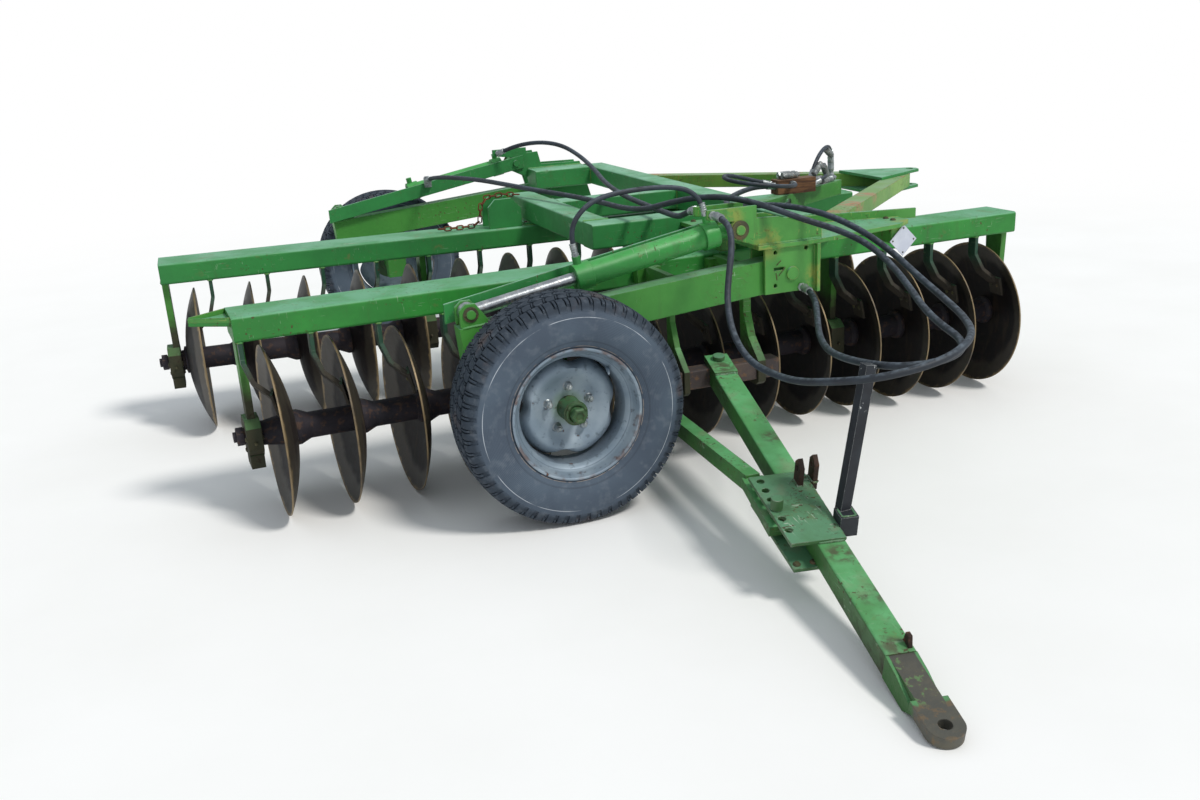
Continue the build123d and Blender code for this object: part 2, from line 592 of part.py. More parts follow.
LINK_STEP = 25.0
CHAIN = [(1190, 1041, 804), (1120, 1041, 812), (1052, 1041, 806), (1022, 1041, 770), (1014, 1041, 712),
         (985, 1038, 695), (915, 1034, 695), (840, 1046, 695)]


def chain(points):
    """Links threaded one in the next along a route."""
    path = FilletPolyline(*points, radius=14)
    count = int(path.length // LINK_STEP)
    links = []
    for k in range(count):
        t = (k + 0.5) * LINK_STEP / path.length
        turn = 90 if k % 2 else 0
        along = path % t
        plane = Plane(origin=path @ t, x_dir=along, z_dir=along.cross(Vector(0, 1, 0)))
        link = Box(LINK_L, LINK_W, LINK_BAR)
        link -= Box(LINK_L - 2 * LINK_BAR, LINK_W - 2 * LINK_BAR, LINK_BAR + 1)
        links.append(plane.location * (Rot(turn, 0, 0) * link))
    return links


add("chains", *chain(CHAIN))

# lock bars beside the cylinders, on the base pins
LOCK_H = 62.0
LOCK_REACH = 60.0
CYL_SLOPE = (BASE_Z - ROD_Z) / (BASE_X - ROD_X)


def lock_bar(y0, y1):
    """Flat bar from the base pin to past the rod pin."""
    x1 = BASE_X + 40
    x0 = ROD_X - LOCK_REACH
    z1 = BASE_Z + 40 * CYL_SLOPE
    z0 = ROD_Z - LOCK_REACH * CYL_SLOPE
    h = LOCK_H / 2
    body = plate_xz([(x0, z0 - h), (x1, z1 - h), (x1, z1 + h), (x0, z0 + h)], y0, y1)
    body -= rod((BASE_X, y0 - 5, BASE_Z), (BASE_X, y1 + 5, BASE_Z), 16.3)
    return body


add("lock_bars",
    lock_bar(FC_IN + CHEEK_T + 3, FC_IN + CHEEK_T + 13),
    lock_bar(RC_IN - CHEEK_T - 13, RC_IN - CHEEK_T - 3))

# hydraulic hoses, fittings and couplers
HOSE_D = 20.0
SMALL_HOSE_D = 16.0
LINK_U = Vector(0.852, 0.523, 0)
add("hose_fittings",
    rod((FITTING_X, FC_OUT - CHEEK_T, FITTING_Z), (FITTING_X, FC_OUT - CHEEK_T - 27, FITTING_Z), 14),
    rod((FITTING_X, FC_IN + CHEEK_T, FITTING_Z), (FITTING_X, FC_IN + CHEEK_T + 25, FITTING_Z), 14),
    rod((FITTING_X + 8, RC_IN - CHEEK_T, FITTING_Z), (FITTING_X + 8, RC_IN - CHEEK_T - 27, FITTING_Z), 14),
    box(1018, 1052, 2064, 2084, 742, 794),
    rod((1724, FC_OUT - CHEEK_T, 604), (1724, FC_OUT - CHEEK_T - 20, 604), 14))
add("couplers",
    rod((2397, 600, 796), (2469, 644.5, 796), 14),
    rod((2450, 648, 884), (2460, 660, 786), 14),
    rod((2100, 474, 852.2), (2190, 474, 852.2), 14))

LOOP_OUTER = [
    (1402, -394, 873), (1401, -450, 870), (1396, -504, 848), (1380, -546, 800), (1354, -576, 732),
    (1324, -618, 648), (1303, -700, 568), (1290, -830, 522), (1282, -990, 526), (1262, -1150, 552),
    (1262, -1290, 588), (1322, -1392, 612), (1424, -1434, 632), (1536, -1432, 652), (1654, -1352, 666),
    (1742, -1205, 668), (1802, -1030, 680), (1840, -850, 708), (1858, -690, 752), (1832, -550, 806),
    (1765, -430, 852), (1692, -300, 868), (1652, -150, 852), (1655, 10, 830), (1710, 160, 820),
    (1800, 290, 818), (1905, 390, 820), (2000, 446, 822), (2080, 456, 814)]
LOOP_INNER = [
    (1035, 2064, 778), (1040, 2000, 792), (1058, 1880, 806), (1098, 1690, 818), (1150, 1470, 824),
    (1194, 1232, 825), (1262, 990, 818), (1314, 752, 819), (1351, 512, 819), (1366, 290, 818),
    (1374, 110, 836), (1402, -30, 872), (1452, -150, 900), (1512, -270, 908), (1585, -380, 886),
    (1680, -455, 842), (1768, -530, 808), (1806, -640, 775), (1795, -780, 735), (1754, -930, 700),
    (1706, -1060, 677), (1676, -1180, 658), (1663, -1294, 643), (1611, -1365, 633), (1524, -1382, 622),
    (1448, -1336, 611), (1423, -1251, 600), (1434, -1110, 578), (1492, -920, 548), (1560, -760, 544),
    (1636, -620, 560), (1696, -510, 582), (1720, -440, 598), (1724, -387, 604)]
ARCH = [
    (1410, 2070, 873), (1436, 2020, 893), (1500, 1960, 918), (1580, 1880, 928), (1640, 1760, 916),
    (1662, 1580, 880), (1645, 1350, 842), (1588, 1090, 822), (1530, 830, 818), (1490, 570, 816),
    (1461, 322, 819), (1452, 110, 816), (1430, -50, 824), (1412, -150, 852), (1402, -236, 873)]
COIL = [
    (2080, 483, 820), (2010, 492, 838), (1930, 480, 862), (1852, 430, 880), (1796, 350, 885),
    (1790, 262, 880), (1840, 198, 870), (1920, 184, 858), (2000, 220, 845), (2070, 290, 834),
    (2122, 360, 826), (2140, 430, 822)]
TAIL_LOW = [
    (2250, 446, 810), (2303, 466, 821), (2345, 509, 827), (2371, 558, 814), (2397, 600, 796)]
TAIL_HIGH = [
    (2250, 478, 822), (2276, 490, 870), (2318, 518, 914), (2374, 562, 936), (2426, 612, 924),
    (2450, 648, 884)]
CYL_HOSE = [
    (956.8, -314, 786), (946, -313, 838), (958, -308, 890), (1002, -300, 932), (1062, -291, 955),
    (1150, -282, 963), (1240, -280, 965), (1310, -286, 960), (1360, -297, 946), (1393, -306, 910),
    (1404, -314, 866)]


def hose(name, points, dia):
    """Round hose of straight runs joined by tangent arcs."""
    p = [Vector(*q) for q in points]
    radii = []
    for i in range(1, len(p) - 1):
        a = p[i] - p[i - 1]
        b = p[i + 1] - p[i]
        half = math.radians(a.get_angle(b)) / 2
        radii.append(0.45 * min(a.length, b.length) / math.tan(half))
    path = FilletPolyline(*p, radius=radii)
    tube = sweep(Plane(origin=p[0], z_dir=path % 0) * Circle(dia / 2), path=path)
    ratio = tube.volume / (math.pi * dia * dia / 4 * path.length)
    print(name, "length", round(path.length), "smallest radius", round(min(radii)), "ratio", round(ratio, 4))
    for mate in ("hose_fittings", "couplers", "coupler_block", "front_cylinder_barrel"):
        for solid in parts[mate]:
            tube = tube - solid
    add(name, tube)


hose("hose_loop_outer", LOOP_OUTER, HOSE_D)
hose("hose_loop_inner", LOOP_INNER, HOSE_D)
hose("hose_arch", ARCH, HOSE_D)
hose("hose_coil", COIL, SMALL_HOSE_D)
hose("hose_tail_low", TAIL_LOW, SMALL_HOSE_D)
hose("hose_tail_high", TAIL_HIGH, SMALL_HOSE_D)
hose("hose_cylinder", CYL_HOSE, SMALL_HOSE_D)

# store
lows = []
highs = []
for solids in parts.values():
    for solid in solids:
        bb = solid.bounding_box()
        lows.append((bb.min.X, bb.min.Y, bb.min.Z))
        highs.append((bb.max.X, bb.max.Y, bb.max.Z))
lo = [min(c) for c in zip(*lows)]
hi = [max(c) for c in zip(*highs)]
shift = Pos(-(lo[0] + hi[0]) / 2, -(lo[1] + hi[1]) / 2, -lo[2])
print("bbox", [round(v, 2) for v in lo + hi])
os.makedirs("parts", exist_ok=True)
for name, solids in parts.items():
    moved = [shift * solid for solid in solids]
    piece = moved[0] if len(moved) == 1 else Compound(moved)
    export_step(piece, f"parts/{name}.step")
print(len(parts), {n: len(v) for n, v in parts.items()})
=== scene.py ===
# %% [markdown]
# # An offset disc harrow, dressed in Blender
# The machine is a farm tool: two long gangs of dished steel discs under a green frame, two wheels that lift
# it, a drawbar to the tractor and a tongue for the road. The packed model has every solid in its place, so
# this file gives each of them a worn finish and adds what a drawing leaves out: tread, welds, bolts and
# smooth hoses. All objects are in metres in the model's own frame, so nothing has to be fitted by eye.

import math

import bmesh
import bpy
from mathutils import Matrix, Vector


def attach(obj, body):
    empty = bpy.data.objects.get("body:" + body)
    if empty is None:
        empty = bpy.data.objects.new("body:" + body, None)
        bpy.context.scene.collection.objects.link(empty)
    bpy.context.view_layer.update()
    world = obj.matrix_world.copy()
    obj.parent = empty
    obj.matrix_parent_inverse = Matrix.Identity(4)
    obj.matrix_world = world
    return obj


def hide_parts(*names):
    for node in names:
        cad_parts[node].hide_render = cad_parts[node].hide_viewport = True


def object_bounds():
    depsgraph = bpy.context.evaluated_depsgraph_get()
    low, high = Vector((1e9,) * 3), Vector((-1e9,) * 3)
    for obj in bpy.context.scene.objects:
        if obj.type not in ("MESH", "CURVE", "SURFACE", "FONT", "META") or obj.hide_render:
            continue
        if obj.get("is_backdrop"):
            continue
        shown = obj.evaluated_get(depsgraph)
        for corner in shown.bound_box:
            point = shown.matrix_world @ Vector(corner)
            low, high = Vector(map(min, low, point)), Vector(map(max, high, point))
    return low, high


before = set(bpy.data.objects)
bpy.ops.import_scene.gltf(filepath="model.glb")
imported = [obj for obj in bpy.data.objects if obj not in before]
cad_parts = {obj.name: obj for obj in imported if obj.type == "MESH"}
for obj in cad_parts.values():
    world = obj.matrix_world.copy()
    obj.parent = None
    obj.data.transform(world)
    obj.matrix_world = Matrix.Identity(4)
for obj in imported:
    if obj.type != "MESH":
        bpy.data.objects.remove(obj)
cad_box = [list(corner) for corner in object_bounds()]
print("model box", [[round(v, 3) for v in corner] for corner in cad_box])

# %% [markdown]
# ## Places in millimetres
# The harrow was drawn in millimetres from a point near the front gang's first disc, with z from the floor.
# One small function moves such a point into the model. Three more sets of axes follow the two gangs, which
# stand a few degrees askew, and the sloping drawbar.

# %% Places in the drawing
SHIFT = Vector((1379.965, 204.855, 0.0))
AXLE, PITCH, DISCS = 280.0, 215.0, 14
BEAM_FOOT = 601.5
FRONT_TURN, REAR_TURN = 2.3, -2.2
FRONT_FACE, REAR_FACE, REAR_INNER = -367.0, 2203.0, 2097.0


def at(x, y, z):
    """A point of the drawing as a place in the model."""
    return (Vector((x, y, z)) - SHIFT) / 1000


class Axes:
    """A tilted part of the drawing: a start point and three directions."""

    def __init__(self, origin, along, side, up):
        self.origin = Vector(origin)
        self.turn = Matrix((along, side, up)).transposed()

    def at(self, x, y, z):
        return at(*(self.origin + self.turn @ Vector((x, y, z))))

    def way(self, x, y, z):
        return (self.turn @ Vector((x, y, z))).normalized()


def gang_axes(origin, degrees):
    """Axes along a gang, with z still counted from the floor."""
    c, s = math.cos(math.radians(degrees)), math.sin(math.radians(degrees))
    return Axes(origin, (c, s, 0), (-s, c, 0), (0, 0, 1))


FRONT, REAR = gang_axes((62, 2.5, 0), FRONT_TURN), gang_axes((-210, 1110, 0), REAR_TURN)
FRONT_WHEEL, REAR_WHEEL = at(848, -475, 358), at(848, 2326, 358)
TAIL, EYE = Vector((1424, -366, 344)), Vector((1140, -1980, 9.1))
BAR_WAY = (EYE - TAIL).normalized()
BAR_UP = BAR_WAY.cross(Vector((0, 0, 1))).cross(BAR_WAY).normalized()
BAR_SIDE = BAR_UP.cross(BAR_WAY)
BAR = Axes(TAIL, BAR_WAY, BAR_SIDE, BAR_UP)
print("drawbar is", round((EYE - TAIL).length), "mm long")

# %% [markdown]
# ## Camera, floor and light
# The camera was fitted to the photograph: it stands left of the drawbar at about shoulder height, with a
# 35 mm lens and rolled three degrees, and a small lens shift sets the height of the picture's middle. The
# floor is pale, turns to plain white in the distance and keeps the machine's shadow. One large soft sun from
# the front right and an even sky show each colour about as it is written.


# %% Camera
def show(name, data):
    """A new object in the scene."""
    made = bpy.data.objects.new(name, data)
    bpy.context.scene.collection.objects.link(made)
    return made


heading, pitch, roll = (math.radians(angle) for angle in (19.77, 20.19, 3.16))
look = Vector((math.sin(heading) * math.cos(pitch), math.cos(heading) * math.cos(pitch), -math.sin(pitch)))
level = Vector((math.cos(heading), -math.sin(heading), 0))
over = level.cross(look)
right = level * math.cos(roll) - over * math.sin(roll)
above = over * math.cos(roll) + level * math.sin(roll)
lens = bpy.data.cameras.new("viewpoint")
lens.lens, lens.sensor_width, lens.shift_y = 35.0, 36.0, 0.0432
viewpoint = show("viewpoint", lens)
aim = Matrix((right, above, -look)).transposed().to_4x4()
viewpoint.matrix_world = Matrix.Translation(at(-223, -3722, 1462)) @ aim
bpy.context.scene.camera = viewpoint
bpy.context.scene.view_settings.view_transform = "Standard"
print("camera stands at", [round(v, 2) for v in viewpoint.matrix_world.translation])

# %% [markdown]
# ## Shader maths as Python
# A finish is easier to read as a sum than as a web of nodes. One class wraps a socket, so that plus, minus
# and times add Math nodes. Another builds the web: its method `node` makes every other kind of node, and
# short helpers name the few patterns that old paint and rust need. `lay` puts one more colour over the tint.


# %% Sockets that can be added and multiplied
def colour(code):
    """A screen colour such as "4f9440" as linear numbers, which Blender wants."""
    parts = [int(code[i:i + 2], 16) / 255 for i in (0, 2, 4)]
    return tuple(p / 12.92 if p <= 0.04045 else ((p + 0.055) / 1.055) ** 2.4 for p in parts) + (1.0,)


class Socket:
    """One value inside a web of nodes."""

    def __init__(self, web, plug):
        self.web, self.plug = web, plug

    def __add__(self, other):
        return self.web.maths("ADD", self, other)

    def __sub__(self, other):
        return self.web.maths("SUBTRACT", self, other)

    def __rsub__(self, other):
        return self.web.maths("SUBTRACT", other, self)

    def __mul__(self, other):
        return self.web.maths("MULTIPLY", self, other)

    __radd__, __rmul__ = __add__, __mul__


class Web:
    """A web of nodes being built, for a material or for the sky."""

    def __init__(self, owner):
        owner.use_nodes = True
        self.tree = owner.node_tree
        self.tree.nodes.clear()

    def node(self, kind, settings=None, sockets=None, out=0):
        """Any node: its settings first, then values, colour codes or links for its sockets."""
        made = self.tree.nodes.new(kind)
        for name, value in (settings or {}).items():
            setattr(made, name, value)
        for name, value in (sockets or {}).items():
            if isinstance(value, Socket):
                self.tree.links.new(value.plug, made.inputs[name])
            else:
                made.inputs[name].default_value = colour(value) if isinstance(value, str) else value
        return Socket(self, made.outputs[out]) if len(made.outputs) else None

    def maths(self, operation, *values):
        return self.node("ShaderNodeMath", {"operation": operation}, dict(enumerate(values)))

    def vector(self, operation, *values, out="Vector"):
        return self.node("ShaderNodeVectorMath", {"operation": operation}, dict(enumerate(values)), out)


# %% Patterns of a worn surface
class Finish(Web):
    """A material being built."""

    def __init__(self, name):
        self.material = bpy.data.materials.new(name)
        super().__init__(self.material)
        self.tint = None
        self.place = self.node("ShaderNodeTexCoord", out="Object")

    def noise(self, scale, detail=3.0, stretch=None):
        where = self.vector("MULTIPLY", self.place, stretch) if stretch else self.place
        values = {"Vector": where, "Scale": scale, "Detail": detail, "Roughness": 0.55}
        return self.node("ShaderNodeTexNoise", {}, values)

    def fade(self, value, start, end):
        """0 before start, 1 after end, with a smooth turn between."""
        values = {"Value": value, "From Min": start, "From Max": end}
        if start > end:
            values = {"Value": value, "From Min": end, "From Max": start, "To Min": 1.0, "To Max": 0.0}
        return self.node("ShaderNodeMapRange", {"interpolation_type": "SMOOTHSTEP"}, values)

    def band(self, value, start, stop, soft):
        """1 between start and stop, with a soft turn inside each."""
        return self.fade(value, start, start + soft) * self.fade(value, stop, stop - soft)

    def mix(self, amount, first, second):
        """From the first colour to the second as amount goes from 0 to 1."""
        return self.node("ShaderNodeMix", {"data_type": "RGBA"}, {0: amount, 6: first, 7: second}, out=2)

    def lay(self, amount, second):
        """Lays a colour over the tint so far, where amount is 1."""
        self.tint = self.mix(amount, self.tint, second)

    def split(self, vector):
        first = self.node("ShaderNodeSeparateXYZ", {}, {0: vector})
        return [Socket(self, plug) for plug in first.plug.node.outputs]

    def upward(self):
        """How far the surface looks up: 1 on top faces, 0 on walls."""
        return self.split(self.node("ShaderNodeNewGeometry", out="Normal"))[2]

    def distance_from(self, centre, stretch=(1, 1, 1), place=None):
        """Distance from a point, or from a line where one stretch is 0."""
        away = self.vector("SUBTRACT", place or self.place, tuple(centre))
        return self.vector("LENGTH", self.vector("MULTIPLY", away, stretch), out="Value")

    def edges(self, radius=0.005):
        """A rounded normal, and a mask that is 1 along the outer edges."""
        soft = self.node("ShaderNodeBevel", {"samples": 4}, {"Radius": radius})
        true = self.node("ShaderNodeNewGeometry", out="True Normal")
        return soft, self.fade(1 - self.vector("DOT_PRODUCT", soft, true, out="Value"), 0.03, 0.25)

    def surface(self, roughness, metallic, height, depth, normal=None):
        """Ends the material with its tint, relief and shader, and returns it."""
        bump = {"Height": height, "Distance": depth, "Strength": 1.0}
        if normal is not None:
            bump["Normal"] = normal
        relief = self.node("ShaderNodeBump", {}, bump)
        values = {"Base Color": self.tint, "Roughness": roughness, "Metallic": metallic, "Normal": relief}
        shader = self.node("ShaderNodeBsdfPrincipled", {}, values)
        self.node("ShaderNodeOutputMaterial", {}, {"Surface": shader})
        return self.material


print("patterns:", ", ".join(name for name in vars(Finish) if not name.startswith("_")))


# %% Floor
def pale_floor():
    """Pale concrete near the machine, plain white further off."""
    f = Finish("pale_floor")
    far = f.fade(f.distance_from((0.0, 0.0, 0.0)), 3.2, 7.5)
    pale = f.mix(f.noise(1.3, 4), "f4f4f2", "ffffff")
    ground = f.node("ShaderNodeBsdfDiffuse", {}, {"Color": pale})
    white = f.node("ShaderNodeEmission", {}, {"Color": (1, 1, 1, 1), "Strength": 1.0})
    seen = f.node("ShaderNodeLightPath", out="Is Camera Ray")
    shown = f.node("ShaderNodeMixShader", {}, {0: far * seen, 1: ground, 2: white})
    f.node("ShaderNodeOutputMaterial", {}, {"Surface": shown})
    return f.material


CORNERS = ((-1, -1), (1, -1), (1, 1), (-1, 1))
FLOOR_HALF, FLOOR_Z = 60.0, -0.0005
sheet = bpy.data.meshes.new("studio_floor")
sheet.from_pydata([(x * FLOOR_HALF, y * FLOOR_HALF, FLOOR_Z) for x, y in CORNERS], [], [(0, 1, 2, 3)])
sheet.materials.append(pale_floor())
show("studio_floor", sheet)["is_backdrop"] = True
print("floor", 2 * FLOOR_HALF, "m wide")

# %% Sky and sun
world = bpy.data.worlds.new("even_sky")
sky = Web(world)
lamp = sky.node("ShaderNodeBackground", {}, {0: (0.88, 0.94, 1.0, 1.0), 1: 0.58})
backdrop = sky.node("ShaderNodeBackground", {}, {0: (1, 1, 1, 1), 1: 1.0})
seen, through = (sky.node("ShaderNodeLightPath", out=ray) for ray in ("Is Camera Ray", "Is Transmission Ray"))
blend = sky.node("ShaderNodeMixShader", {}, {0: sky.maths("MAXIMUM", seen, through), 1: lamp, 2: backdrop})
sky.node("ShaderNodeOutputWorld", {}, {"Surface": blend})
bpy.context.scene.world = world
sun = bpy.data.lights.new("soft_sun", "SUN")
sun.energy, sun.angle, sun.color = 2.0, math.radians(12), (1.0, 0.97, 0.92)
show("soft_sun", sun).rotation_euler = Vector((0.42, -0.62, 0.95)).to_track_quat("Z", "Y").to_euler()
print("sun is", round(math.degrees(sun.angle)), "degrees wide")

# %% [markdown]
# ## Worn green paint
# The frame looks hand brushed. Top faces are a paler, bluish green: partly years of sun fade, partly painted
# sky light. Edges are rubbed paler, partly by wear and partly as a painted highlight; small chips show rust,
# rain has left faint streaks, the legs near the soil are brown, and painted shade darkens the scrapers' low
# parts.
# Each of these is a mask laid over the last: a broad noise for the brush coats, the upward normal for the
# fade and painted sky light, a rounded-edge mask for wear and highlight, thresholds of fine noise for chips,
# and the height for soil and shade.


# %% Paint
def worn_paint(name, wall, wall_dark, faded_top_with_painted_sky, chips=0.5, rub=0.6, soil_and_shade=(0.10, 0.20), scrape="8fae8c",
               rough=0.46, worn_at=(), worn_tint="4d4234"):
    """worn_at lists places, each with the radius to which the paint is worn off round it."""
    f = Finish(name)
    broad, fine, grain = f.noise(3.1), f.noise(34, 5), f.noise(160, 2)
    up = f.upward()
    f.tint = f.mix(f.fade(broad + fine * 0.25, 0.45, 0.78), wall, wall_dark)
    # Top faces turn paler and bluish: partly sun fade, partly painted sky light.
    fade_and_painted_sky = f.mix(f.fade(f.noise(7, 4), 0.36, 0.66), faded_top_with_painted_sky, f.mix(0.55, faded_top_with_painted_sky, wall))
    f.lay(f.fade(up, 0.25, 0.8), fade_and_painted_sky)
    rain = f.noise(1, stretch=(34, 34, 3))
    f.lay(f.fade(rain, 0.56, 0.8) * 0.32, "3d4f2c")
    # Pale dust on top faces.
    dust_and_sheen = f.fade(up, 0.5, 0.9) * f.fade(f.noise(11, 4), 0.55, 0.72)
    f.lay(dust_and_sheen * 0.38, "85806a")
    soft, edge = f.edges()
    # Paler edges: partly rubbed paint, partly a painted highlight where the edges catch the light.
    rubbed_and_highlit_edge = edge * f.fade(f.noise(19, 4), 0.62 - 0.22 * rub, 0.78 - 0.22 * rub)
    f.lay(rubbed_and_highlit_edge * 0.75, f.mix(f.fade(fine, 0.42, 0.6), scrape, "4e3a2a"))
    patchy = f.fade(f.noise(5, 2), 0.44, 0.62)
    spot = f.fade(f.noise(85, 4), 0.67 - 0.045 * chips, 0.69 - 0.045 * chips) * patchy
    bleed = f.fade(fine, 0.62 - 0.04 * chips, 0.74 - 0.04 * chips) * patchy
    f.lay(bleed * 0.45, "6f6a3c")
    flat, steep = (f.fade(f.noise(1, 2, stretch=way), 0.70 - 0.03 * chips, 0.72 - 0.03 * chips)
                   for way in ((14, 14, 260), (190, 12, 30)))
    f.lay((flat + steep) * patchy * 0.55, scrape)
    f.lay(spot * 0.9, f.mix(grain, "3a2a1f", "66482f"))
    scribble = f.band(f.noise(24, 2), 0.494, 0.518, 0.007) * f.fade(f.noise(2.6, 2), 0.52, 0.60)
    f.lay(scribble * 0.5 * min(chips, 1.0), "4a3c2a")
    for point, radius in worn_at:
        near = f.fade(f.distance_from(point) + (fine - 0.5) * radius * 1.4, radius, radius * 0.45)
        f.lay(near * f.fade(fine, 0.36, 0.58) * 0.8, worn_tint)
    height = f.split(f.place)[2] + (broad + fine * 0.6 - 0.8) * 0.22
    # Darker towards the bottom: soil on most parts, painted shade on the scrapers, which sit in the discs'
    # shade.
    low = f.fade(height, soil_and_shade[1], soil_and_shade[0]) * (1 - f.fade(up, 0.4, 0.9) * 0.6)
    f.lay(low * 0.94, f.mix(fine, "1d1a18", "43362a"))
    relief = grain * 0.25 + fine * 0.5 - spot * 1.2 - low * grain
    gloss = rough + fine * 0.16 + spot * 0.3 + low * 0.3 + dust_and_sheen * 0.2
    return f.surface(gloss, 0.0, relief, 0.0007, soft)


# %% The paints: wall, darker wall and top, which is sun fade and painted sky light, then how worn each is
def spots(place, *rows):
    """Worn places from rows of x, y, z and radius in millimetres."""
    return [(place(x, y, z), radius / 1000) for x, y, z, radius in rows]


CARRIAGE_SPOTS = spots(
    at, (1600, FRONT_FACE, 758, 70), (1786, FRONT_FACE, 640, 60), (1470, FRONT_FACE, 850, 60),
    (1786, -280, 757, 90), (2190, -240, 757, 60))
BAR_SPOTS = spots(
    BAR.at, (1060, 4, 33, 55), (1235, 18, 33, 50), (1420, -6, 33, 50), (470, 20, 33, 45), (20, 0, 43, 60))
TONGUE_SPOTS = spots(
    at, (2150, 120, 742, 100), (2320, 280, 742, 90), (2500, 450, 742, 70), (2120, 1740, 742, 100))
PAINTS = {
    "beam": ("2a8a31 24772c 69ab82", dict(chips=0.35)),
    "rear_beam": ("2a863b 257636 70ad87", dict(chips=0.35)),
    "rail": ("2f8a44 287a3c 83bb9a", dict(chips=0.4)),
    "arm": ("428d36 378130 6ea87b", dict(chips=0.5, soil_and_shade=(0.12, 0.25))),
    "carriage": ("4e9641 428638 6cab84", dict(chips=0.8, rub=1.1, scrape="b4b260", worn_tint="8f9a45",
                                              worn_at=CARRIAGE_SPOTS)),
    "hanger": ("448c2e 36792b 5f9860", dict(chips=0.9, soil_and_shade=(0.37, 0.50))),
    # The scrapers' dark greens and near-black low parts are painted shade: they stand in the discs' shadow.
    "scraper": ("184a33 153f2d 25593f", dict(chips=0.6, soil_and_shade=(0.45, 0.56), rough=0.4)),
    "drawbar": ("3a7630 2f5a2a 62ab70", dict(chips=1.2, rub=0.9, soil_and_shade=(0.03, 0.12), worn_at=BAR_SPOTS)),
    "plate": ("456f42 375b33 5c8f6c", dict(chips=1.5, rub=1.0, scrape="c8d2c0", soil_and_shade=(0.02, 0.10))),
    "tongue": ("6f9c3e 578c38 86a878", dict(chips=1.3, rub=1.9, scrape="b06a4c", worn_tint="b7765c",
                                            worn_at=TONGUE_SPOTS)),
    "cylinder": ("31913d 287c35 50ab5a", dict(chips=0.4, rub=0.4, rough=0.36)),
    "hub": ("3b6634 2c4d2a 48704a", dict(chips=1.5, rub=1.0, soil_and_shade=(0.05, 0.1), scrape="5a4632")),
}
coat = {key: worn_paint("paint_" + key, *codes.split(), **wear) for key, (codes, wear) in PAINTS.items()}
print(len(coat), "paints")

# %% [markdown]
# ## Bare and rusty steel
# The discs are rolled steel that soil has polished and rain has browned again: nearly black inside the dish,
# partly as painted shade, with a paler worn band near the rim and a tan cutting edge. Faces turned towards
# +x, the sun's side, are painted paler grey-brown as painted light, with some soil residue. The band follows
# the distance from each gang's axis, so every disc wears it in the right place. Spools and shafts are old
# iron with purple-brown rust.


# %% Discs
def disc_finish(name, centre, degrees):
    f = Finish(name)
    settled = f.node("ShaderNodeVectorRotate", {"rotation_type": "Z_AXIS"}, {
        "Vector": f.place, "Center": tuple(centre), "Angle": -math.radians(degrees)})
    reach = f.distance_from(centre, (0, 1, 1), settled)
    broad, fine, grain = f.noise(6, 4), f.noise(42, 5), f.noise(190, 2)
    # Near-black base: dark steel, darkened further as painted shade.
    f.tint = f.mix(f.fade(broad, 0.4, 0.64), "0d0b10", "1c1516")
    f.lay(f.fade(fine, 0.5, 0.68) * 0.35, "3a2b26")
    # Faces turned towards +x, the sun's side, turn paler grey-brown: painted light, with some soil residue;
    # streaks show more there too.
    back = f.fade(f.split(f.node("ShaderNodeNewGeometry", out="True Normal"))[0], -0.1, 0.3)
    f.lay(back * 0.62, f.mix(f.fade(broad, 0.42, 0.60), "565044", "352e2b"))
    streak = f.fade(f.noise(1, 4, stretch=(26, 26, 7)), 0.54, 0.70)
    f.lay(streak * (0.35 * back + 0.12), "7a6648")
    worn = f.fade(reach + (broad - 0.5) * 0.09, 0.205, 0.232)
    f.lay(worn * 0.62, f.mix(fine, "34312d", "5c5548"))
    tip = f.fade(reach + (fine - 0.5) * 0.03, 0.269, 0.278) * f.fade(broad, 0.30, 0.52)
    f.lay(tip * 0.9, "8a7757")
    scores = f.maths("SINE", (reach + broad * 0.004) * 900.0)
    relief = fine * 0.6 + grain * 0.4 + scores * 0.10
    return f.surface(0.50 - worn * 0.12 + fine * 0.2, 0.35, relief, 0.0008)


# %% Rusty iron
def rusty_iron(name, dark, mid, bright, metal=0.3, rough=0.62, paint_to=None):
    """paint_to is a length along the drawbar in metres: green paint is left on before it."""
    f = Finish(name)
    broad, fine, grain = f.noise(8, 4), f.noise(48, 5), f.noise(220, 2)
    f.tint = f.mix(f.fade(broad, 0.38, 0.62), dark, mid)
    f.lay(f.fade(fine, 0.52, 0.68) * 0.7, bright)
    if paint_to:
        away = f.vector("SUBTRACT", f.place, tuple(BAR.at(0, 0, 0)))
        along, across = (
            f.vector("DOT_PRODUCT", away, tuple(way), out="Value") for way in (BAR_WAY, BAR_SIDE))
        ragged = along + (broad - 0.5) * 0.16 + (fine - 0.5) * 0.05
        cheek = f.fade(f.maths("ABSOLUTE", across), 0.0300, 0.0315)
        left = f.fade(ragged, paint_to + 0.012, paint_to - 0.012) * (cheek + f.fade(fine, 0.56, 0.64) * 0.6)
        # The green left on is paler on top faces: partly sun fade, partly painted sky light, as on the frame
        # paint.
        green = f.mix(f.fade(f.upward(), 0.3, 0.8), "35682f", "5c9a63")
        f.lay(left * 0.9, green)
    soft, edge = f.edges(0.004)
    f.lay(edge * f.fade(fine, 0.4, 0.6) * 0.5, "8b7a66")
    return f.surface(rough + fine * 0.2, metal, fine + grain * 0.6, 0.0012, soft)


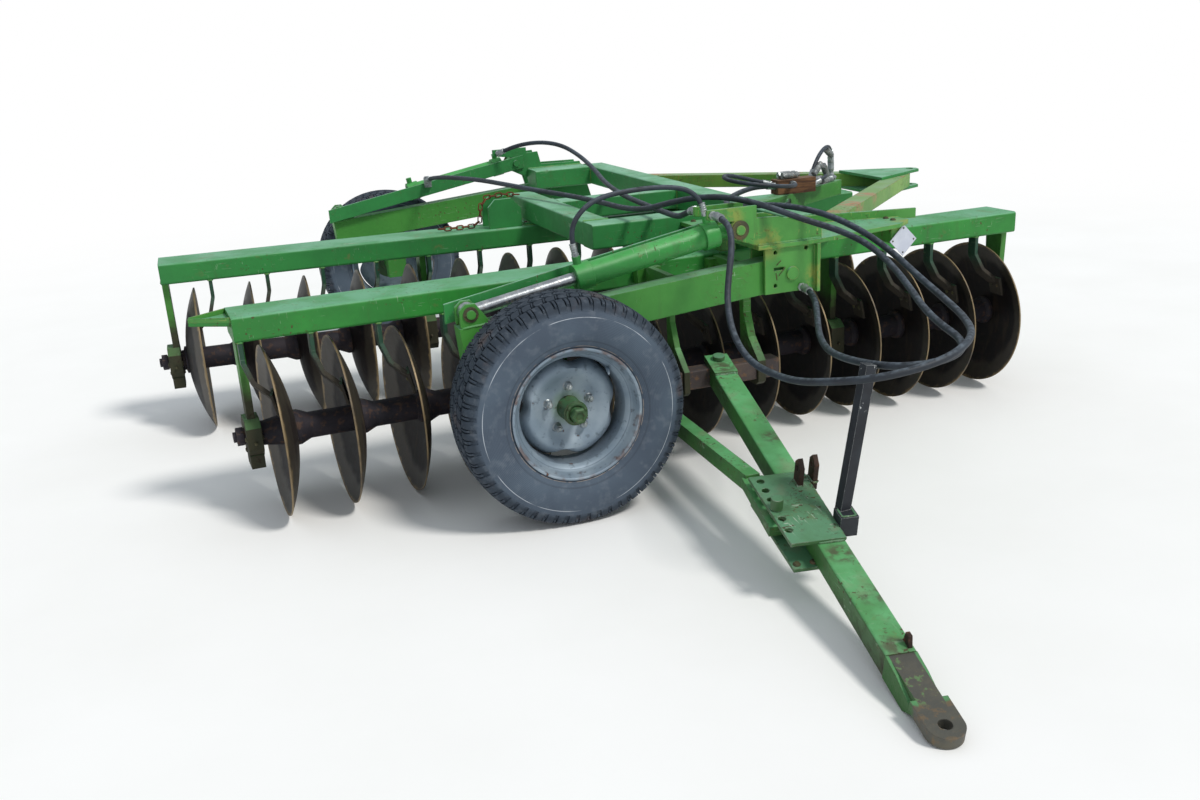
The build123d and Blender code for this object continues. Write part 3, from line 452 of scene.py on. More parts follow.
coat |= {
    "front_disc": disc_finish("steel_front_disc", FRONT.at(0, 0, AXLE), FRONT_TURN),
    "rear_disc": disc_finish("steel_rear_disc", REAR.at(0, 0, AXLE), REAR_TURN),
    "spool": rusty_iron("iron_spool", "26242c", "332d34", "5b4436"),
    "cross": rusty_iron("iron_crossbar", "443c3b", "574840", "71533a", metal=0.2),
    "lug": rusty_iron("iron_lug", "2e211c", "463026", "6e4630"),
    "eye": rusty_iron("iron_eye", "565650", "686456", "7a664c", metal=0.35, rough=0.5, paint_to=1.60),
    "pin": rusty_iron("iron_pin", "3b3a30", "5a5a3c", "6f5a3a"),
    "chain": rusty_iron("iron_chain", "4f2a1a", "7a4022", "a05a30", metal=0.1, rough=0.75),
}
print(len(coat), "finishes with steel and iron")

# %% [markdown]
# ## Rubber, zinc, chrome and wood
# Hoses and tyres are both black rubber, but they age differently: the tyre holds reddish dust in its grooves
# and on its shoulders, and a thin white ring runs round its side, while the hoses turn blue-grey, with a
# painted highlight and some dust along their tops. The couplings are zinc plated, the piston rods dull
# chrome, and a block of weathered wood carries the coil.


# %% Rubber
def tyre_finish(name, centre):
    f = Finish(name)
    reach = f.distance_from(centre, (1, 0, 1))
    broad, fine, grain = f.noise(5, 4), f.noise(40, 5), f.noise(240, 2)
    f.tint = f.mix(f.fade(broad, 0.36, 0.66), "434f5e", "4d5b6a")
    tread = f.fade(reach + (broad - 0.5) * 0.02, 0.312, 0.332)
    f.lay(tread * 0.85, f.mix(fine, "121b26", "2c3a48"))
    f.lay(f.fade(f.noise(9, 4), 0.54, 0.72) * tread * 0.5, "5d4d48")
    f.lay(f.fade(fine, 0.50, 0.72) * 0.16, "8a8f96")
    white_ring = f.band(reach, 0.3010, 0.3036, 0.0005) * f.fade(f.noise(11, 4), 0.36, 0.60)
    f.lay(white_ring * 0.7, "c9d0d8")
    bead = f.band(reach, 0.2115, 0.2145, 0.001) * f.fade(fine, 0.40, 0.52)
    f.lay(bead * 0.5, "b9a796")
    f.lay(f.band(reach, 0.226, 0.2335, 0.0025) * 0.35, "2b333e")
    ribs = f.maths("SINE", reach * 1400.0) * f.fade(reach, 0.322, 0.312)
    return f.surface(0.72 + fine * 0.14, 0.0, fine * 0.5 + grain * 0.5 + ribs * 0.22, 0.0007)


def hose_finish(name, base, pale):
    f = Finish(name)
    broad, fine, grain = f.noise(9, 4), f.noise(70, 4), f.noise(300, 2)
    f.tint = f.mix(f.fade(broad, 0.4, 0.66), base, pale)
    # Paler blue-grey along the hoses' tops: a painted highlight, with some dust.
    dust_and_sheen = f.fade(f.upward(), 0.3, 1.0) * f.fade(fine, 0.35, 0.7)
    f.lay(dust_and_sheen * 0.5, "74818d")
    return f.surface(0.5 + fine * 0.2, 0.0, fine + grain * 0.5, 0.0004)


# %% Plated steel and silver paint
def plated_steel(name, base, pale, rough=0.34, metal=0.85, rust=0.35):
    f = Finish(name)
    broad, fine = f.noise(30, 4), f.noise(120, 4)
    f.tint = f.mix(f.fade(broad, 0.4, 0.62), base, pale)
    rusted = f.fade(fine + broad * 0.5, 0.86, 0.95) * rust
    f.lay(rusted, "6b4a30")
    return f.surface(rough + fine * 0.15 + rusted * 0.3, metal - rusted * 0.5, fine, 0.0003)


def silver_paint(name, centre):
    f = Finish(name)
    reach = f.distance_from(centre, (1, 0, 1))
    broad, fine, grain = f.noise(7, 4), f.noise(52, 5), f.noise(260, 2)
    f.tint = f.mix(f.fade(broad, 0.4, 0.64), "8393a1", "9aa8b3")
    f.lay(f.fade(fine, 0.56, 0.7) * 0.6, "56626c")
    near_edge = f.fade(reach + (fine - 0.5) * 0.03, 0.192, 0.203)
    f.lay(near_edge * f.fade(f.noise(13), 0.44, 0.6) * 0.7, "6b5045")
    for start, stop in ((0.1655, 0.1715), (0.1815, 0.1855)):
        f.lay(f.band(reach, start, stop, 0.0015) * 0.55, "55616d")
    near_hub = f.fade(reach + (broad - 0.5) * 0.05, 0.072, 0.040)
    f.lay(near_hub * 0.45, "6f8f5c")
    chip = f.fade(fine, 0.66, 0.70) * f.fade(broad, 0.5, 0.6)
    f.lay(chip, "5d3c2c")
    return f.surface(0.42 + fine * 0.15, 0.35, fine * 0.5 + grain * 0.3 - chip, 0.0005)


# %% Black and white coats, and wood
def plain_coat(name, base, pale, mark, marks=0.66):
    """Black or white paint with chips of another colour, which start where fine noise passes marks."""
    f = Finish(name)
    broad, fine = f.noise(12, 4), f.noise(60, 5)
    f.tint = f.mix(f.fade(broad, 0.4, 0.65), base, pale)
    soft, edge = f.edges(0.003)
    chip = f.fade(fine, marks, marks + 0.03) * f.fade(broad, 0.45, 0.58)
    worn = f.fade(edge * 0.6 + fine * 0.7, 0.80, 0.9)
    f.lay(f.maths("MAXIMUM", chip, worn * 0.7), mark)
    return f.surface(0.5 + fine * 0.2, 0.0, fine - chip * 2.0, 0.0006, soft)


def old_wood(name):
    f = Finish(name)
    grain, fine = f.noise(1, 5, stretch=(9, 90, 90)), f.noise(1, 4, stretch=(40, 320, 320))
    f.tint = f.mix(f.fade(grain, 0.36, 0.64), "4a2f1c", "7d5636")
    f.lay(f.fade(fine, 0.5, 0.7) * 0.5, "2b1c12")
    f.lay(f.fade(f.upward(), 0.3, 0.9) * 0.35, "8a7a66")
    return f.surface(0.78, 0.0, grain + fine * 0.6, 0.0012, f.edges(0.004)[0])


coat |= {
    "front_tyre": tyre_finish("rubber_front_tyre", FRONT_WHEEL),
    "rear_tyre": tyre_finish("rubber_rear_tyre", REAR_WHEEL),
    "front_rim": silver_paint("silver_front_rim", FRONT_WHEEL),
    "rear_rim": silver_paint("silver_rear_rim", REAR_WHEEL),
    "hose": hose_finish("rubber_hose", "1d242d", "2c3641"),
    "zinc": plated_steel("zinc_plate", "8f9698", "b9bfc0"),
    "old_zinc": plated_steel("old_zinc_plate", "767b7c", "979c9c", rough=0.45, metal=0.6, rust=0.9),
    "chrome": plated_steel("dull_chrome", "a8acb0", "c6cacc", rough=0.22, metal=0.95, rust=0.6),
    "black": plain_coat("black_coat", "141820", "20262e", "c6c9c8"),
    "white": plain_coat("white_coat", "c3c8d6", "d3d7e2", "8b8f98", marks=0.72),
    "wood": old_wood("weathered_wood"),
}
print(len(coat), "finishes in all")

# %% [markdown]
# ## Finishes on the model's own pieces
# Most of the model's solids already have their real shape, so they stay, and only their material changes. A
# plain table says which pieces wear each finish.

# %% Dress the model
DRESS = {
    "front_disc": "front_discs",
    "rear_disc": "rear_discs",
    "spool": "front_spools rear_spools",
    "beam": "front_beam beam_ear",
    "rear_beam": "rear_beam",
    "rail": "frame_rails frame_cross rear_tower tongue_tip chain_bracket lock_bars",
    "carriage": "front_box front_deck front_tower",
    "hanger": "front_hangers rear_hangers drawbar_hangers",
    "scraper": "front_scrapers rear_scrapers",
    "arm": "front_arm rear_arm tongue_link",
    "hub": "front_wheel_hub rear_wheel_hub",
    "cylinder": "front_cylinder_barrel rear_cylinder_barrel",
    "chrome": "front_cylinder_rod rear_cylinder_rod",
    "cross": "drawbar_cross",
    "drawbar": "drawbar_bar drawbar_brace",
    "plate": "drawbar_plates drawbar_pins",
    "lug": "drawbar_lugs",
    "eye": "drawbar_eye",
    "tongue": "tongue_legs",
    "black": "hose_post",
    "wood": "coupler_block",
    "white": "tag",
    "zinc": "hose_fittings couplers",
    "chain": "chains",
    "front_tyre": "front_wheel_tyre",
    "rear_tyre": "rear_wheel_tyre",
    "front_rim": "front_wheel_rim",
    "rear_rim": "rear_wheel_rim",
}
wearers = [(key, name) for key, names in DRESS.items() for name in names.split()]
for key, name in wearers:
    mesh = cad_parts[name].data
    mesh.materials.clear()
    mesh.materials.append(coat[key])
print("dressed", len(wearers), "of", len(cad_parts), "pieces")

# %% [markdown]
# ## Tools for new pieces
# New pieces are made from a few shapes: turned rings, bent tubes, hexagon bolts and weld beads. Each helper
# adds to a bmesh, so that all bolts of one body can share one object, and `piece` turns the bmesh into an
# object that rides on its body. Tubes and turned shapes are both rows of rings, so one function joins them.


# %% From mesh to object
def piece(name, bm, key, body, smooth=40.0):
    """Turns a bmesh into an object that wears a finish and rides on a body."""
    mesh = bpy.data.meshes.new(name)
    bmesh.ops.recalc_face_normals(bm, faces=bm.faces)
    bm.to_mesh(mesh)
    bm.free()
    mesh.materials.append(coat[key])
    made = show(name, mesh)
    mesh.shade_smooth()
    mesh.set_sharp_from_angle(angle=math.radians(smooth))
    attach(made, body)
    return made


# %% Rings, turned shapes and tubes
def basis(way):
    """Two directions square to a third."""
    way = Vector(way).normalized()
    side = way.cross(Vector((0, 0, 1)) if abs(way.z) < 0.9 else Vector((1, 0, 0))).normalized()
    return way, side, way.cross(side)


def ring(bm, middle, side, up, radius, segments):
    """Points on a circle. The radius is in millimetres."""
    turns = [2 * math.pi * k / segments for k in range(segments)]
    return [bm.verts.new(middle + (side * math.cos(a) + up * math.sin(a)) * (radius / 1000)) for a in turns]


def join_rings(bm, rings, closed=False):
    """Faces between rings: the last meets the first, or else each end has a lid."""
    for a, b in list(zip(rings, rings[1:])) + ([(rings[-1], rings[0])] if closed else []):
        for k in range(len(a)):
            n = (k + 1) % len(a)
            bm.faces.new((a[k], a[n], b[n], b[k]))
    if not closed:
        bm.faces.new(rings[0])
        bm.faces.new(rings[-1])


def turned(bm, centre, way, rows, segments, closed=False):
    """A turned shape from rows of (along, radius) in millimetres."""
    way, side, up = basis(way)
    rings = [ring(bm, centre + way * (along / 1000), side, up, radius, segments) for along, radius in rows]
    join_rings(bm, rings, closed)


def tube(bm, points, radii, segments, closed=False):
    """A round bar along points in metres, with one radius per point in millimetres."""
    count = len(points)
    rings, side = [], None
    for i, point in enumerate(points):
        before = points[i - 1] if i or closed else point
        after = points[(i + 1) % count] if i + 1 < count or closed else point
        way = (after - before).normalized()
        if side is None:
            side = basis(way)[1]
        side = (side - way * side.dot(way)).normalized()
        rings.append(ring(bm, point, side, way.cross(side), radii[i], segments))
    join_rings(bm, rings, closed)


def prism(bm, first, second):
    """A solid between two outlines with the same number of corners."""
    join_rings(bm, [[bm.verts.new(point) for point in outline] for outline in (first, second)])


# %% Bolts and weld beads
def bolt(bm, centre, way, size):
    """A washer and a hexagon head with chamfered corners."""
    turned(bm, centre, way, [(-1, size * 1.05), (2.2, size * 1.05), (2.6, size * 0.9)], 20)
    turned(bm, centre, way, [(2.0, size * 0.86), (size * 0.52, size * 0.86), (size * 0.66, size * 0.72)], 6)


def weld(bm, start, end, size=4.5):
    """A weld bead: a low ridge whose ripples follow the welder's hand."""
    length = (end - start).length * 1000
    steps = max(4, int(length / 3.2))
    points, radii = [], []
    for k in range(steps + 1):
        wobble = math.sin(k * 12.9898 + length) * 0.5
        points.append(start.lerp(end, k / steps) + Vector((0, 0, wobble * 0.0006)))
        radii.append(size * (0.86 + (0.22 if k % 2 else 0.0) + 0.08 * math.sin(k * 0.7 + length)))
    radii[0] = radii[-1] = size * 0.55
    tube(bm, points, radii, 7)


def weld_round(bm, axes, middle, half, size):
    """Weld beads round the foot of an upright piece: its middle and its half sizes in some axes."""
    x, y, z = middle
    corners = [axes.at(x + i * half[0], y + j * half[1], z) for i, j in CORNERS]
    for a, b in zip(corners, corners[1:] + corners[:1]):
        weld(bm, a, b, size)


print("helpers ready")

# %% [markdown]
# ## Tyres
# These are wide all-terrain tyres. A tread like this is easiest to build as the mould makes it: a smooth
# carcass turned from its cross-section, and rubber blocks that stand on it in five rows. One block is a
# little grid that follows the tyre's crown, so shoulder blocks wrap down over the side. Its two long edges
# may slant and zigzag, which gives the wavy grooves. The same blocks repeat with each pitch round the tyre.

# %% Tyre cross-section, as distance from the middle and radius
SKIN = [
    (0, 358), (18, 357.8), (34, 357.2), (52, 356), (70, 354), (84, 351.4), (92, 347), (97, 340),
    (100, 331), (105, 318), (109.5, 302), (111.6, 286), (112, 270), (110, 252), (105, 236), (98, 222),
    (91, 211.5), (87, 204), (83.5, 199.6)]
TREAD_FOOT, TREAD_DEPTH = 318.0, 9.0


def skin_at(across):
    """The skin's y and radius at a distance along it from the middle."""
    side = -1.0 if across < 0 else 1.0
    left = abs(across)
    for (y0, r0), (y1, r1) in zip(SKIN, SKIN[1:]):
        step = math.hypot(y1 - y0, r1 - r0)
        if left <= step:
            t = left / step
            return side * (y0 + (y1 - y0) * t), r0 + (r1 - r0) * t
        left -= step
    return side * SKIN[-1][0], SKIN[-1][1]


def under_tread(y, r):
    """The carcass below a point of the skin, which the blocks stand on."""
    if r > TREAD_FOOT:
        depth = min(TREAD_DEPTH, (r - TREAD_FOOT) * 0.8)
        length = math.hypot(y * 0.5, r)
        return y - y * 0.5 / length * depth, r - r / length * depth
    return y, r


# %% Tread blocks: start and end across the tread, then each long edge's place, slant, zigzag and sway
PITCHES = 58
SIDE_BLOCKS = (
    (66, 124, (0.04, 0, 0, 0), (0.60, 0.04, 0, 1)),
    (66, 98, (0.72, 0, 0, 1), (0.90, 0, 0, 0)),
    (24, 60, (0.30, 0.22, 0, 0), (0.92, 0.22, 0.14, 0)),
    (24, 52, (0.08, 0.18, 0.06, 0), (0.22, 0.18, 0, 0)),
)
MIDDLE_BLOCKS = (
    (-19, 19, (0.05, 0, 0.30, 0), (0.62, 0, 0.30, 0)),
    (-14, 14, (0.72, 0, 0.26, 0), (0.95, 0, 0.22, 0)),
)
CHAMFER = 0.035


def tread_block(bm, centre, start, end, edges, pitch, sway):
    """One block. Edges are counted in pitches round the tyre."""
    cuts = max(2, int(abs(end - start) / 9) + 1)
    lines = []
    for i in range(cuts + 1):
        t = i / cuts
        y, r = skin_at(start + (end - start) * t)
        foot_y, foot_r = under_tread(y, r)
        foot_y, foot_r = foot_y * 0.995, foot_r - 1.5
        a, b = (pitch + place + slant * t + zigzag * (1 - abs(2 * t - 1)) + swing * sway
                for place, slant, zigzag, swing in edges)
        line = []
        for angle, yy, rr in ((a - CHAMFER, foot_y, foot_r), (a, y, r - 0.7), (a + CHAMFER, y, r),
                              (b - CHAMFER, y, r), (b, y, r - 0.7), (b + CHAMFER, foot_y, foot_r)):
            turn = 2 * math.pi * angle / PITCHES
            line.append(bm.verts.new(centre + Vector((rr * math.cos(turn), yy, rr * math.sin(turn))) / 1000))
        lines.append(line)
    for p, q in zip(lines, lines[1:]):
        for k in range(5):
            bm.faces.new((p[k], p[k + 1], q[k + 1], q[k]))
    bm.faces.new(lines[0])
    bm.faces.new(lines[-1])


# %% Tyres
WHEELS = (("front", FRONT_WHEEL, -1), ("rear", REAR_WHEEL, 1))


def tyre(side, centre):
    bm = bmesh.new()
    rows = [under_tread(y, r) for y, r in SKIN]
    outline = [(-y, r) for y, r in reversed(rows)] + rows[1:] + [(70, 192), (0, 196), (-70, 192)]
    turned(bm, centre, (0, 1, 0), outline, 2 * PITCHES, closed=True)
    for k in range(PITCHES):
        sway = 0.05 * math.sin(k * 2.1)
        for s in (-1, 1):
            for start, end, *edges in SIDE_BLOCKS:
                tread_block(bm, centre, s * start, s * end, edges, k + (0.5 if s > 0 else 0), sway)
        for start, end, *edges in MIDDLE_BLOCKS:
            tread_block(bm, centre, start, end, edges, k, sway)
    made = piece(side + "_tyre", bm, side + "_tyre", side + "_wheel", smooth=28.0)
    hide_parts(side + "_wheel_tyre")
    print(made.name, len(made.data.polygons), "faces")


for side, centre, out in WHEELS:
    tyre(side, centre)

# %% [markdown]
# ## Rims
# A pressed steel wheel is a rolled band with a drop centre, and a dished disc welded inside it. The disc
# touches the band in four places, and between them a slot lets mud out; these slots are the dark crescents of
# the photograph. Turning the band and then pulling the disc's outer rings inwards at four angles makes both.

# %% Rim: rows of distance towards the hub cap's side and radius
BAND = [
    (96, 207), (97, 203), (95, 199), (89, 196.5), (72, 190), (64, 187), (60, 182), (46, 171), (34, 167),
    (-30, 167), (-56, 178), (-62, 186), (-72, 190), (-89, 196.5), (-95, 199), (-97, 203), (-96, 207),
    (-92, 207.5), (-91, 201), (-87, 199.5), (-70, 193.5), (-60, 190), (-52, 181), (-28, 170), (32, 170),
    (44, 174), (56, 184.5), (62, 190), (70, 193.5), (87, 199.5), (91, 201), (92, 207.5)]
DISH = [
    (4, 38.5), (4, 58), (5, 82), (10, 96), (19, 112), (22, 128), (17, 142), (6, 152), (-8, 158), (-20, 163)]
DISH_WALL, DISH_FLAT, SLOT = 4.0, 128.0, 0.145
ROUND = 96
VALVE = [(0, 6), (18, 5.5), (20, 4), (34, 4), (36, 3)]


def dish(bm, centre, out):
    """The pressed disc, with its outer rings pulled in where the four slots are."""
    back = [(along - DISH_WALL, radius) for along, radius in reversed(DISH)]
    rings = []
    for along, radius in DISH + back:
        line = []
        for k in range(ROUND):
            a = 2 * math.pi * k / ROUND
            notch = max(0.0, math.cos(4 * a + 0.6)) ** 2.2
            pull = 1.0 - notch * SLOT * max(0.0, (radius - DISH_FLAT) / 35) ** 0.8
            r = radius * pull / 1000
            line.append(bm.verts.new(centre + Vector((math.cos(a) * r, out * along / 1000, math.sin(a) * r))))
        rings.append(line)
    join_rings(bm, rings, closed=True)


# %% Wheels with nuts and hub caps
NUT_CIRCLE, NUTS = 0.06985, 5
NUT = (([(-1, 15), (1.5, 15), (4, 12)], 20), ([(3, 13.0), (18, 13.0), (22, 10)], 6),
       ([(14, 6.8), (29, 6.8), (31, 5)], 12))
CAP = (([(66, 38.5), (72, 38.5), (72.5, 34), (80, 34), (81, 27), (76, 24)], 40),
       ([(94, 26.5), (107, 26.5), (111, 22), (111, 15), (106, 13)], 6))


def rim(side, centre, out):
    """out is the side of the hub cap, -1 towards the drawbar."""
    way, body = Vector((0, out, 0)), side + "_wheel"
    bm = bmesh.new()
    turned(bm, centre, way, BAND, ROUND, closed=True)
    dish(bm, centre, out)
    turned(bm, centre + Vector((0.118, out * 0.046, 0.118)), Vector((-0.25, out, -0.25)), VALVE, 12)
    made = piece(side + "_rim_band", bm, side + "_rim", body, smooth=35.0)
    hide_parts(side + "_wheel_rim")
    bm = bmesh.new()
    for i in range(NUTS):
        a = math.radians(90 + 360 / NUTS * i)
        seat = centre + Vector((math.cos(a) * NUT_CIRCLE, out * 0.004, math.sin(a) * NUT_CIRCLE))
        for rows, segments in NUT:
            turned(bm, seat, way, rows, segments)
    piece(side + "_rim_nuts", bm, "zinc", body)
    bm = bmesh.new()
    for rows, segments in CAP:
        turned(bm, centre, way, rows, segments)
    for i in range(3):
        a = math.radians(20 + 120 * i)
        bolt(bm, centre + Vector((math.cos(a) * 0.030, out * 0.0795, math.sin(a) * 0.030)), way, 5.0)
    piece(side + "_rim_cap", bm, "hub", body)


for side, centre, out in WHEELS:
    rim(side, centre, out)
print(len(WHEELS), "rims")

# %% [markdown]
# ## Hydraulic hoses
# Two long hoses start at the front cylinder's tower and at the rear frame, loop past the black post on the
# drawbar and end at the couplers and the carriage. Shorter ones join the two towers, coil on the wooden block
# and feed the front cylinder. A hose is a fixed length of stiff rubber, so each is one smooth NURBS line led
# by the same points as its solid, and ends in a crimped sleeve and a hexagon nut.

# %% Hose routes: diameter, length, body and points
ROUTES = {
    "hose_loop_outer": (20, 3.65, "frame", [
        (1402, -394, 873), (1401, -450, 870), (1396, -504, 848), (1380, -546, 800), (1354, -576, 732),
        (1324, -618, 648), (1303, -700, 568), (1290, -830, 522), (1282, -990, 526), (1262, -1150, 552),
        (1262, -1290, 588), (1322, -1392, 612), (1424, -1434, 632), (1536, -1432, 652), (1654, -1352, 666),
        (1742, -1205, 668), (1802, -1030, 680), (1840, -850, 708), (1858, -690, 752), (1832, -550, 806),
        (1765, -430, 852), (1692, -300, 868), (1652, -150, 852), (1655, 10, 830), (1710, 160, 820),
        (1800, 290, 818), (1905, 390, 820), (2000, 446, 822), (2080, 456, 814)]),
    "hose_loop_inner": (20, 4.84, "frame", [
        (1035, 2064, 778), (1040, 2000, 792), (1058, 1880, 806), (1098, 1690, 818), (1150, 1470, 824),
        (1194, 1232, 825), (1262, 990, 818), (1314, 752, 819), (1351, 512, 819), (1366, 290, 818),
        (1374, 110, 836), (1402, -30, 872), (1452, -150, 900), (1512, -270, 908), (1585, -380, 886),
        (1680, -455, 842), (1768, -530, 808), (1806, -640, 775), (1795, -780, 735), (1754, -930, 700),
        (1706, -1060, 677), (1676, -1180, 658), (1663, -1294, 643), (1611, -1365, 633), (1524, -1382, 622),
        (1448, -1336, 611), (1423, -1251, 600), (1434, -1110, 578), (1492, -920, 548), (1560, -760, 544),
        (1636, -620, 560), (1696, -510, 582), (1720, -440, 598), (1724, -387, 604)]),
    "hose_arch": (20, 2.42, "frame", [
        (1410, 2070, 873), (1436, 2020, 893), (1500, 1960, 918), (1580, 1880, 928), (1640, 1760, 916),
        (1662, 1580, 880), (1645, 1350, 842), (1588, 1090, 822), (1530, 830, 818), (1490, 570, 816),
        (1461, 322, 819), (1452, 110, 816), (1430, -50, 824), (1412, -150, 852), (1402, -236, 873)]),
    "hose_coil": (16, 0.93, "frame", [
        (2080, 483, 820), (2010, 492, 838), (1930, 480, 862), (1852, 430, 880), (1796, 350, 885),
        (1790, 262, 880), (1840, 198, 870), (1920, 184, 858), (2000, 220, 845), (2070, 290, 834),
        (2122, 360, 826), (2140, 430, 822)]),
    "hose_tail_low": (16, 0.226, "frame", [
        (2250, 446, 810), (2303, 466, 821), (2345, 509, 827), (2371, 558, 814), (2397, 600, 796)]),
    "hose_tail_high": (16, 0.32, "frame", [
        (2250, 478, 822), (2276, 490, 870), (2318, 518, 914), (2374, 562, 936), (2426, 612, 924),
        (2450, 648, 884)]),
    "hose_cylinder": (16, 0.62, "front_barrel", [
        (956.8, -314, 786), (946, -313, 838), (958, -308, 890), (1002, -300, 932), (1062, -291, 955),
        (1150, -282, 963), (1240, -280, 965), (1310, -286, 960), (1360, -297, 946), (1393, -306, 910),
        (1404, -314, 866)]),
}


# %% Hoses
def sleeves(bm, r, ends):
    """A crimped sleeve and a hexagon nut where a hose of radius r starts and where it ends."""
    rows = [(1, r * 0.95), (1, r * 1.30), (9, r * 1.36)]
    for x in range(10, 38, 7):
        rows += [(x, r * 1.36), (x + 2, r * 1.22), (x + 4, r * 1.22), (x + 6, r * 1.36)]
    rows += [(40, r * 1.3), (41, r * 1.04)]
    for first, second in ends:
        way = Vector(second) - Vector(first)
        turned(bm, at(*first), way, rows, 20)
        turned(bm, at(*first), way, [(-4, r * 1.35), (-3, r * 1.5), (7, r * 1.5), (9, r * 1.34)], 6)


def hose(node, diameter, length, body, points):
    """A hose on a smooth line, with its two sleeves."""
    curve = bpy.data.curves.new(node + "_line", "CURVE")
    curve.dimensions = "3D"
    spline = curve.splines.new("NURBS")
    spline.points.add(len(points) - 1)
    for target, point in zip(spline.points, points):
        target.co = (*at(*point), 1.0)
    spline.order_u = 3
    spline.use_endpoint_u = True
    spline.resolution_u = 10
    curve.bevel_depth = diameter / 2000
    curve.bevel_resolution = 5
    curve.use_fill_caps = True
    curve.materials.append(coat["hose"])
    made = show(node + "_line", curve)
    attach(made, body)
    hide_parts(node)
    tuple(at(*points[0]))
    bm = bmesh.new()
    sleeves(bm, diameter / 2, ((points[0], points[1]), (points[-1], points[-2])))
    piece(node + "_sleeves", bm, "zinc", body)


for node, (diameter, length, body, points) in ROUTES.items():
    hose(node, diameter, length, body, points)
print(len(ROUTES), "hoses")

# %% [markdown]
# ## Fittings and couplers
# The solids for the hydraulic fittings are plain rods. Real ones are turned: a hexagon to hold with a
# spanner, a knurled sleeve that slides back to let the plug out, and a round collar. The new pieces stand on
# the same axes and take the place of the rods. More couplers, older ones, lie on the block and against the
# hoses, as in the photograph.

# %% Fittings
bm = bmesh.new()
for start, stop in (
        ((1402, FRONT_FACE, 873), (1402, -394, 873)), ((1402, -261, 873), (1402, -236, 873)),
        ((1410, REAR_INNER, 873), (1410, 2070, 873)), ((1724, FRONT_FACE, 604), (1724, -387, 604))):
    way = Vector(stop) - Vector(start)
    reach = way.length
    turned(bm, at(*start), way, [(0, 13.9), (reach * 0.28, 13.9), (reach * 0.34, 11)], 6)
    turned(bm, at(*start), way, [(reach * share, radius) for share, radius in (
        (0.3, 10.5), (0.42, 11.5), (0.5, 10.0), (0.6, 11.5), (0.98, 11.5))], 20)
clip = [(1018, 742), (1052, 742), (1052, 786), (1046, 794), (1024, 794), (1018, 786)]
prism(bm, [at(x, 2064, z) for x, z in clip], [at(x, 2084, z) for x, z in clip])
bolt(bm, at(1035, 2064, 754), (0, -1, 0), 6.0)
fittings = piece("turned_fittings", bm, "zinc", "frame")
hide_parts("hose_fittings")
print("fittings made")


# %% Couplers
def coupler(bm, start, stop):
    """A quick coupler: hexagon, collar, knurled sleeve and plug."""
    way = Vector(stop) - Vector(start)
    long = way.length
    shares = [(0, 10), (0.10, 10), (0.10, 12.5), (0.20, 13.6)]
    for k in range(7):
        shares += [(0.24 + 0.045 * k, 13.8), (0.26 + 0.045 * k, 12.9)]
    shares += [(0.60, 13.6), (0.64, 11.0), (0.72, 11.0), (0.74, 12.6), (0.86, 12.6), (0.88, 9.0), (1, 8.6)]
    turned(bm, at(*start), way, [(long * share, radius) for share, radius in shares], 28)
    turned(bm, at(*start), way, [(long * 0.02, 13.6), (long * 0.12, 13.6), (long * 0.13, 12)], 6)


bm = bmesh.new()
for start, stop in (((2397, 600, 796), (2469, 644.5, 796)), ((2450, 648, 884), (2460, 660, 786)),
                    ((2100, 474, 852.2), (2190, 474, 852.2))):
    coupler(bm, start, stop)
made = piece("turned_couplers", bm, "zinc", "frame")
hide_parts("couplers")
bm = bmesh.new()
for start, stop in (((2272, 560, 795.4), (2340, 602, 795.4)), ((2262, 520, 795.2), (2322, 557, 795.2)),
                    ((2352, 622, 795.4), (2420, 664, 795.4)), ((2104, 446, 852.0), (2186, 452, 852.0)),
                    ((2262, 470, 840), (2318, 506, 880)), ((2380, 571, 924), (2432, 609, 890)),
                    ((2352, 543, 864), (2404, 599, 812)), ((2300, 470, 812), (2366, 530, 806))):
    coupler(bm, start, stop)
piece("spare_couplers", bm, "old_zinc", "frame")
print("couplers made")

# %% [markdown]
# ## Chain
# A safety chain lies over the bracket on the rear beam and along the beam. Each link is a bar bent to a long
# oval and turned a quarter from the last, so a closed tube round two half circles makes one. The links follow
# the same line as their solids.

# %% Chain links
CHAIN = [(1190, 1041, 804), (1120, 1041, 812), (1052, 1041, 806), (1022, 1041, 770), (1014, 1041, 712),
         (985, 1038, 695), (915, 1034, 695), (840, 1046, 695)]
LINK_STEP, LINK_BEND, LINK_HALF, LINK_BAR, LINK_CUTS = 25.0, 8.0, 7.6, 2.6, 20


def along_route(points, step):
    """Places and directions at even steps along straight runs."""
    found, left = [], step / 2
    for a, b in zip(points, points[1:]):
        a, b = Vector(a), Vector(b)
        run = (b - a).length
        while left <= run:
            found.append((a.lerp(b, left / run), (b - a).normalized()))
            left += step
        left -= run
    return found


bm = bmesh.new()
places = along_route(CHAIN, LINK_STEP)
for k, (middle, way) in enumerate(places):
    side = way.cross(Vector((0, 1, 0))).normalized() if k % 2 else Vector((0, 1, 0))
    loop = []
    for i in range(LINK_CUTS):
        a = 2 * math.pi * i / LINK_CUTS
        reach = LINK_HALF * (1 if math.cos(a) > 0 else -1)
        loop.append(at(*(middle + way * (reach + LINK_BEND * math.cos(a)) + side * LINK_BEND * math.sin(a))))
    tube(bm, loop, [LINK_BAR] * LINK_CUTS, 8, closed=True)
links = piece("chain_links", bm, "chain", "frame")
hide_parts("chains")
print("chain of", len(places), "links")

# %% [markdown]
# ## Bolts
# Bearings, scraper blades, pads and plates are bolted. Every bolt is a washer and a chamfered hexagon, and
# those of one body share one object, because they never move on their own.

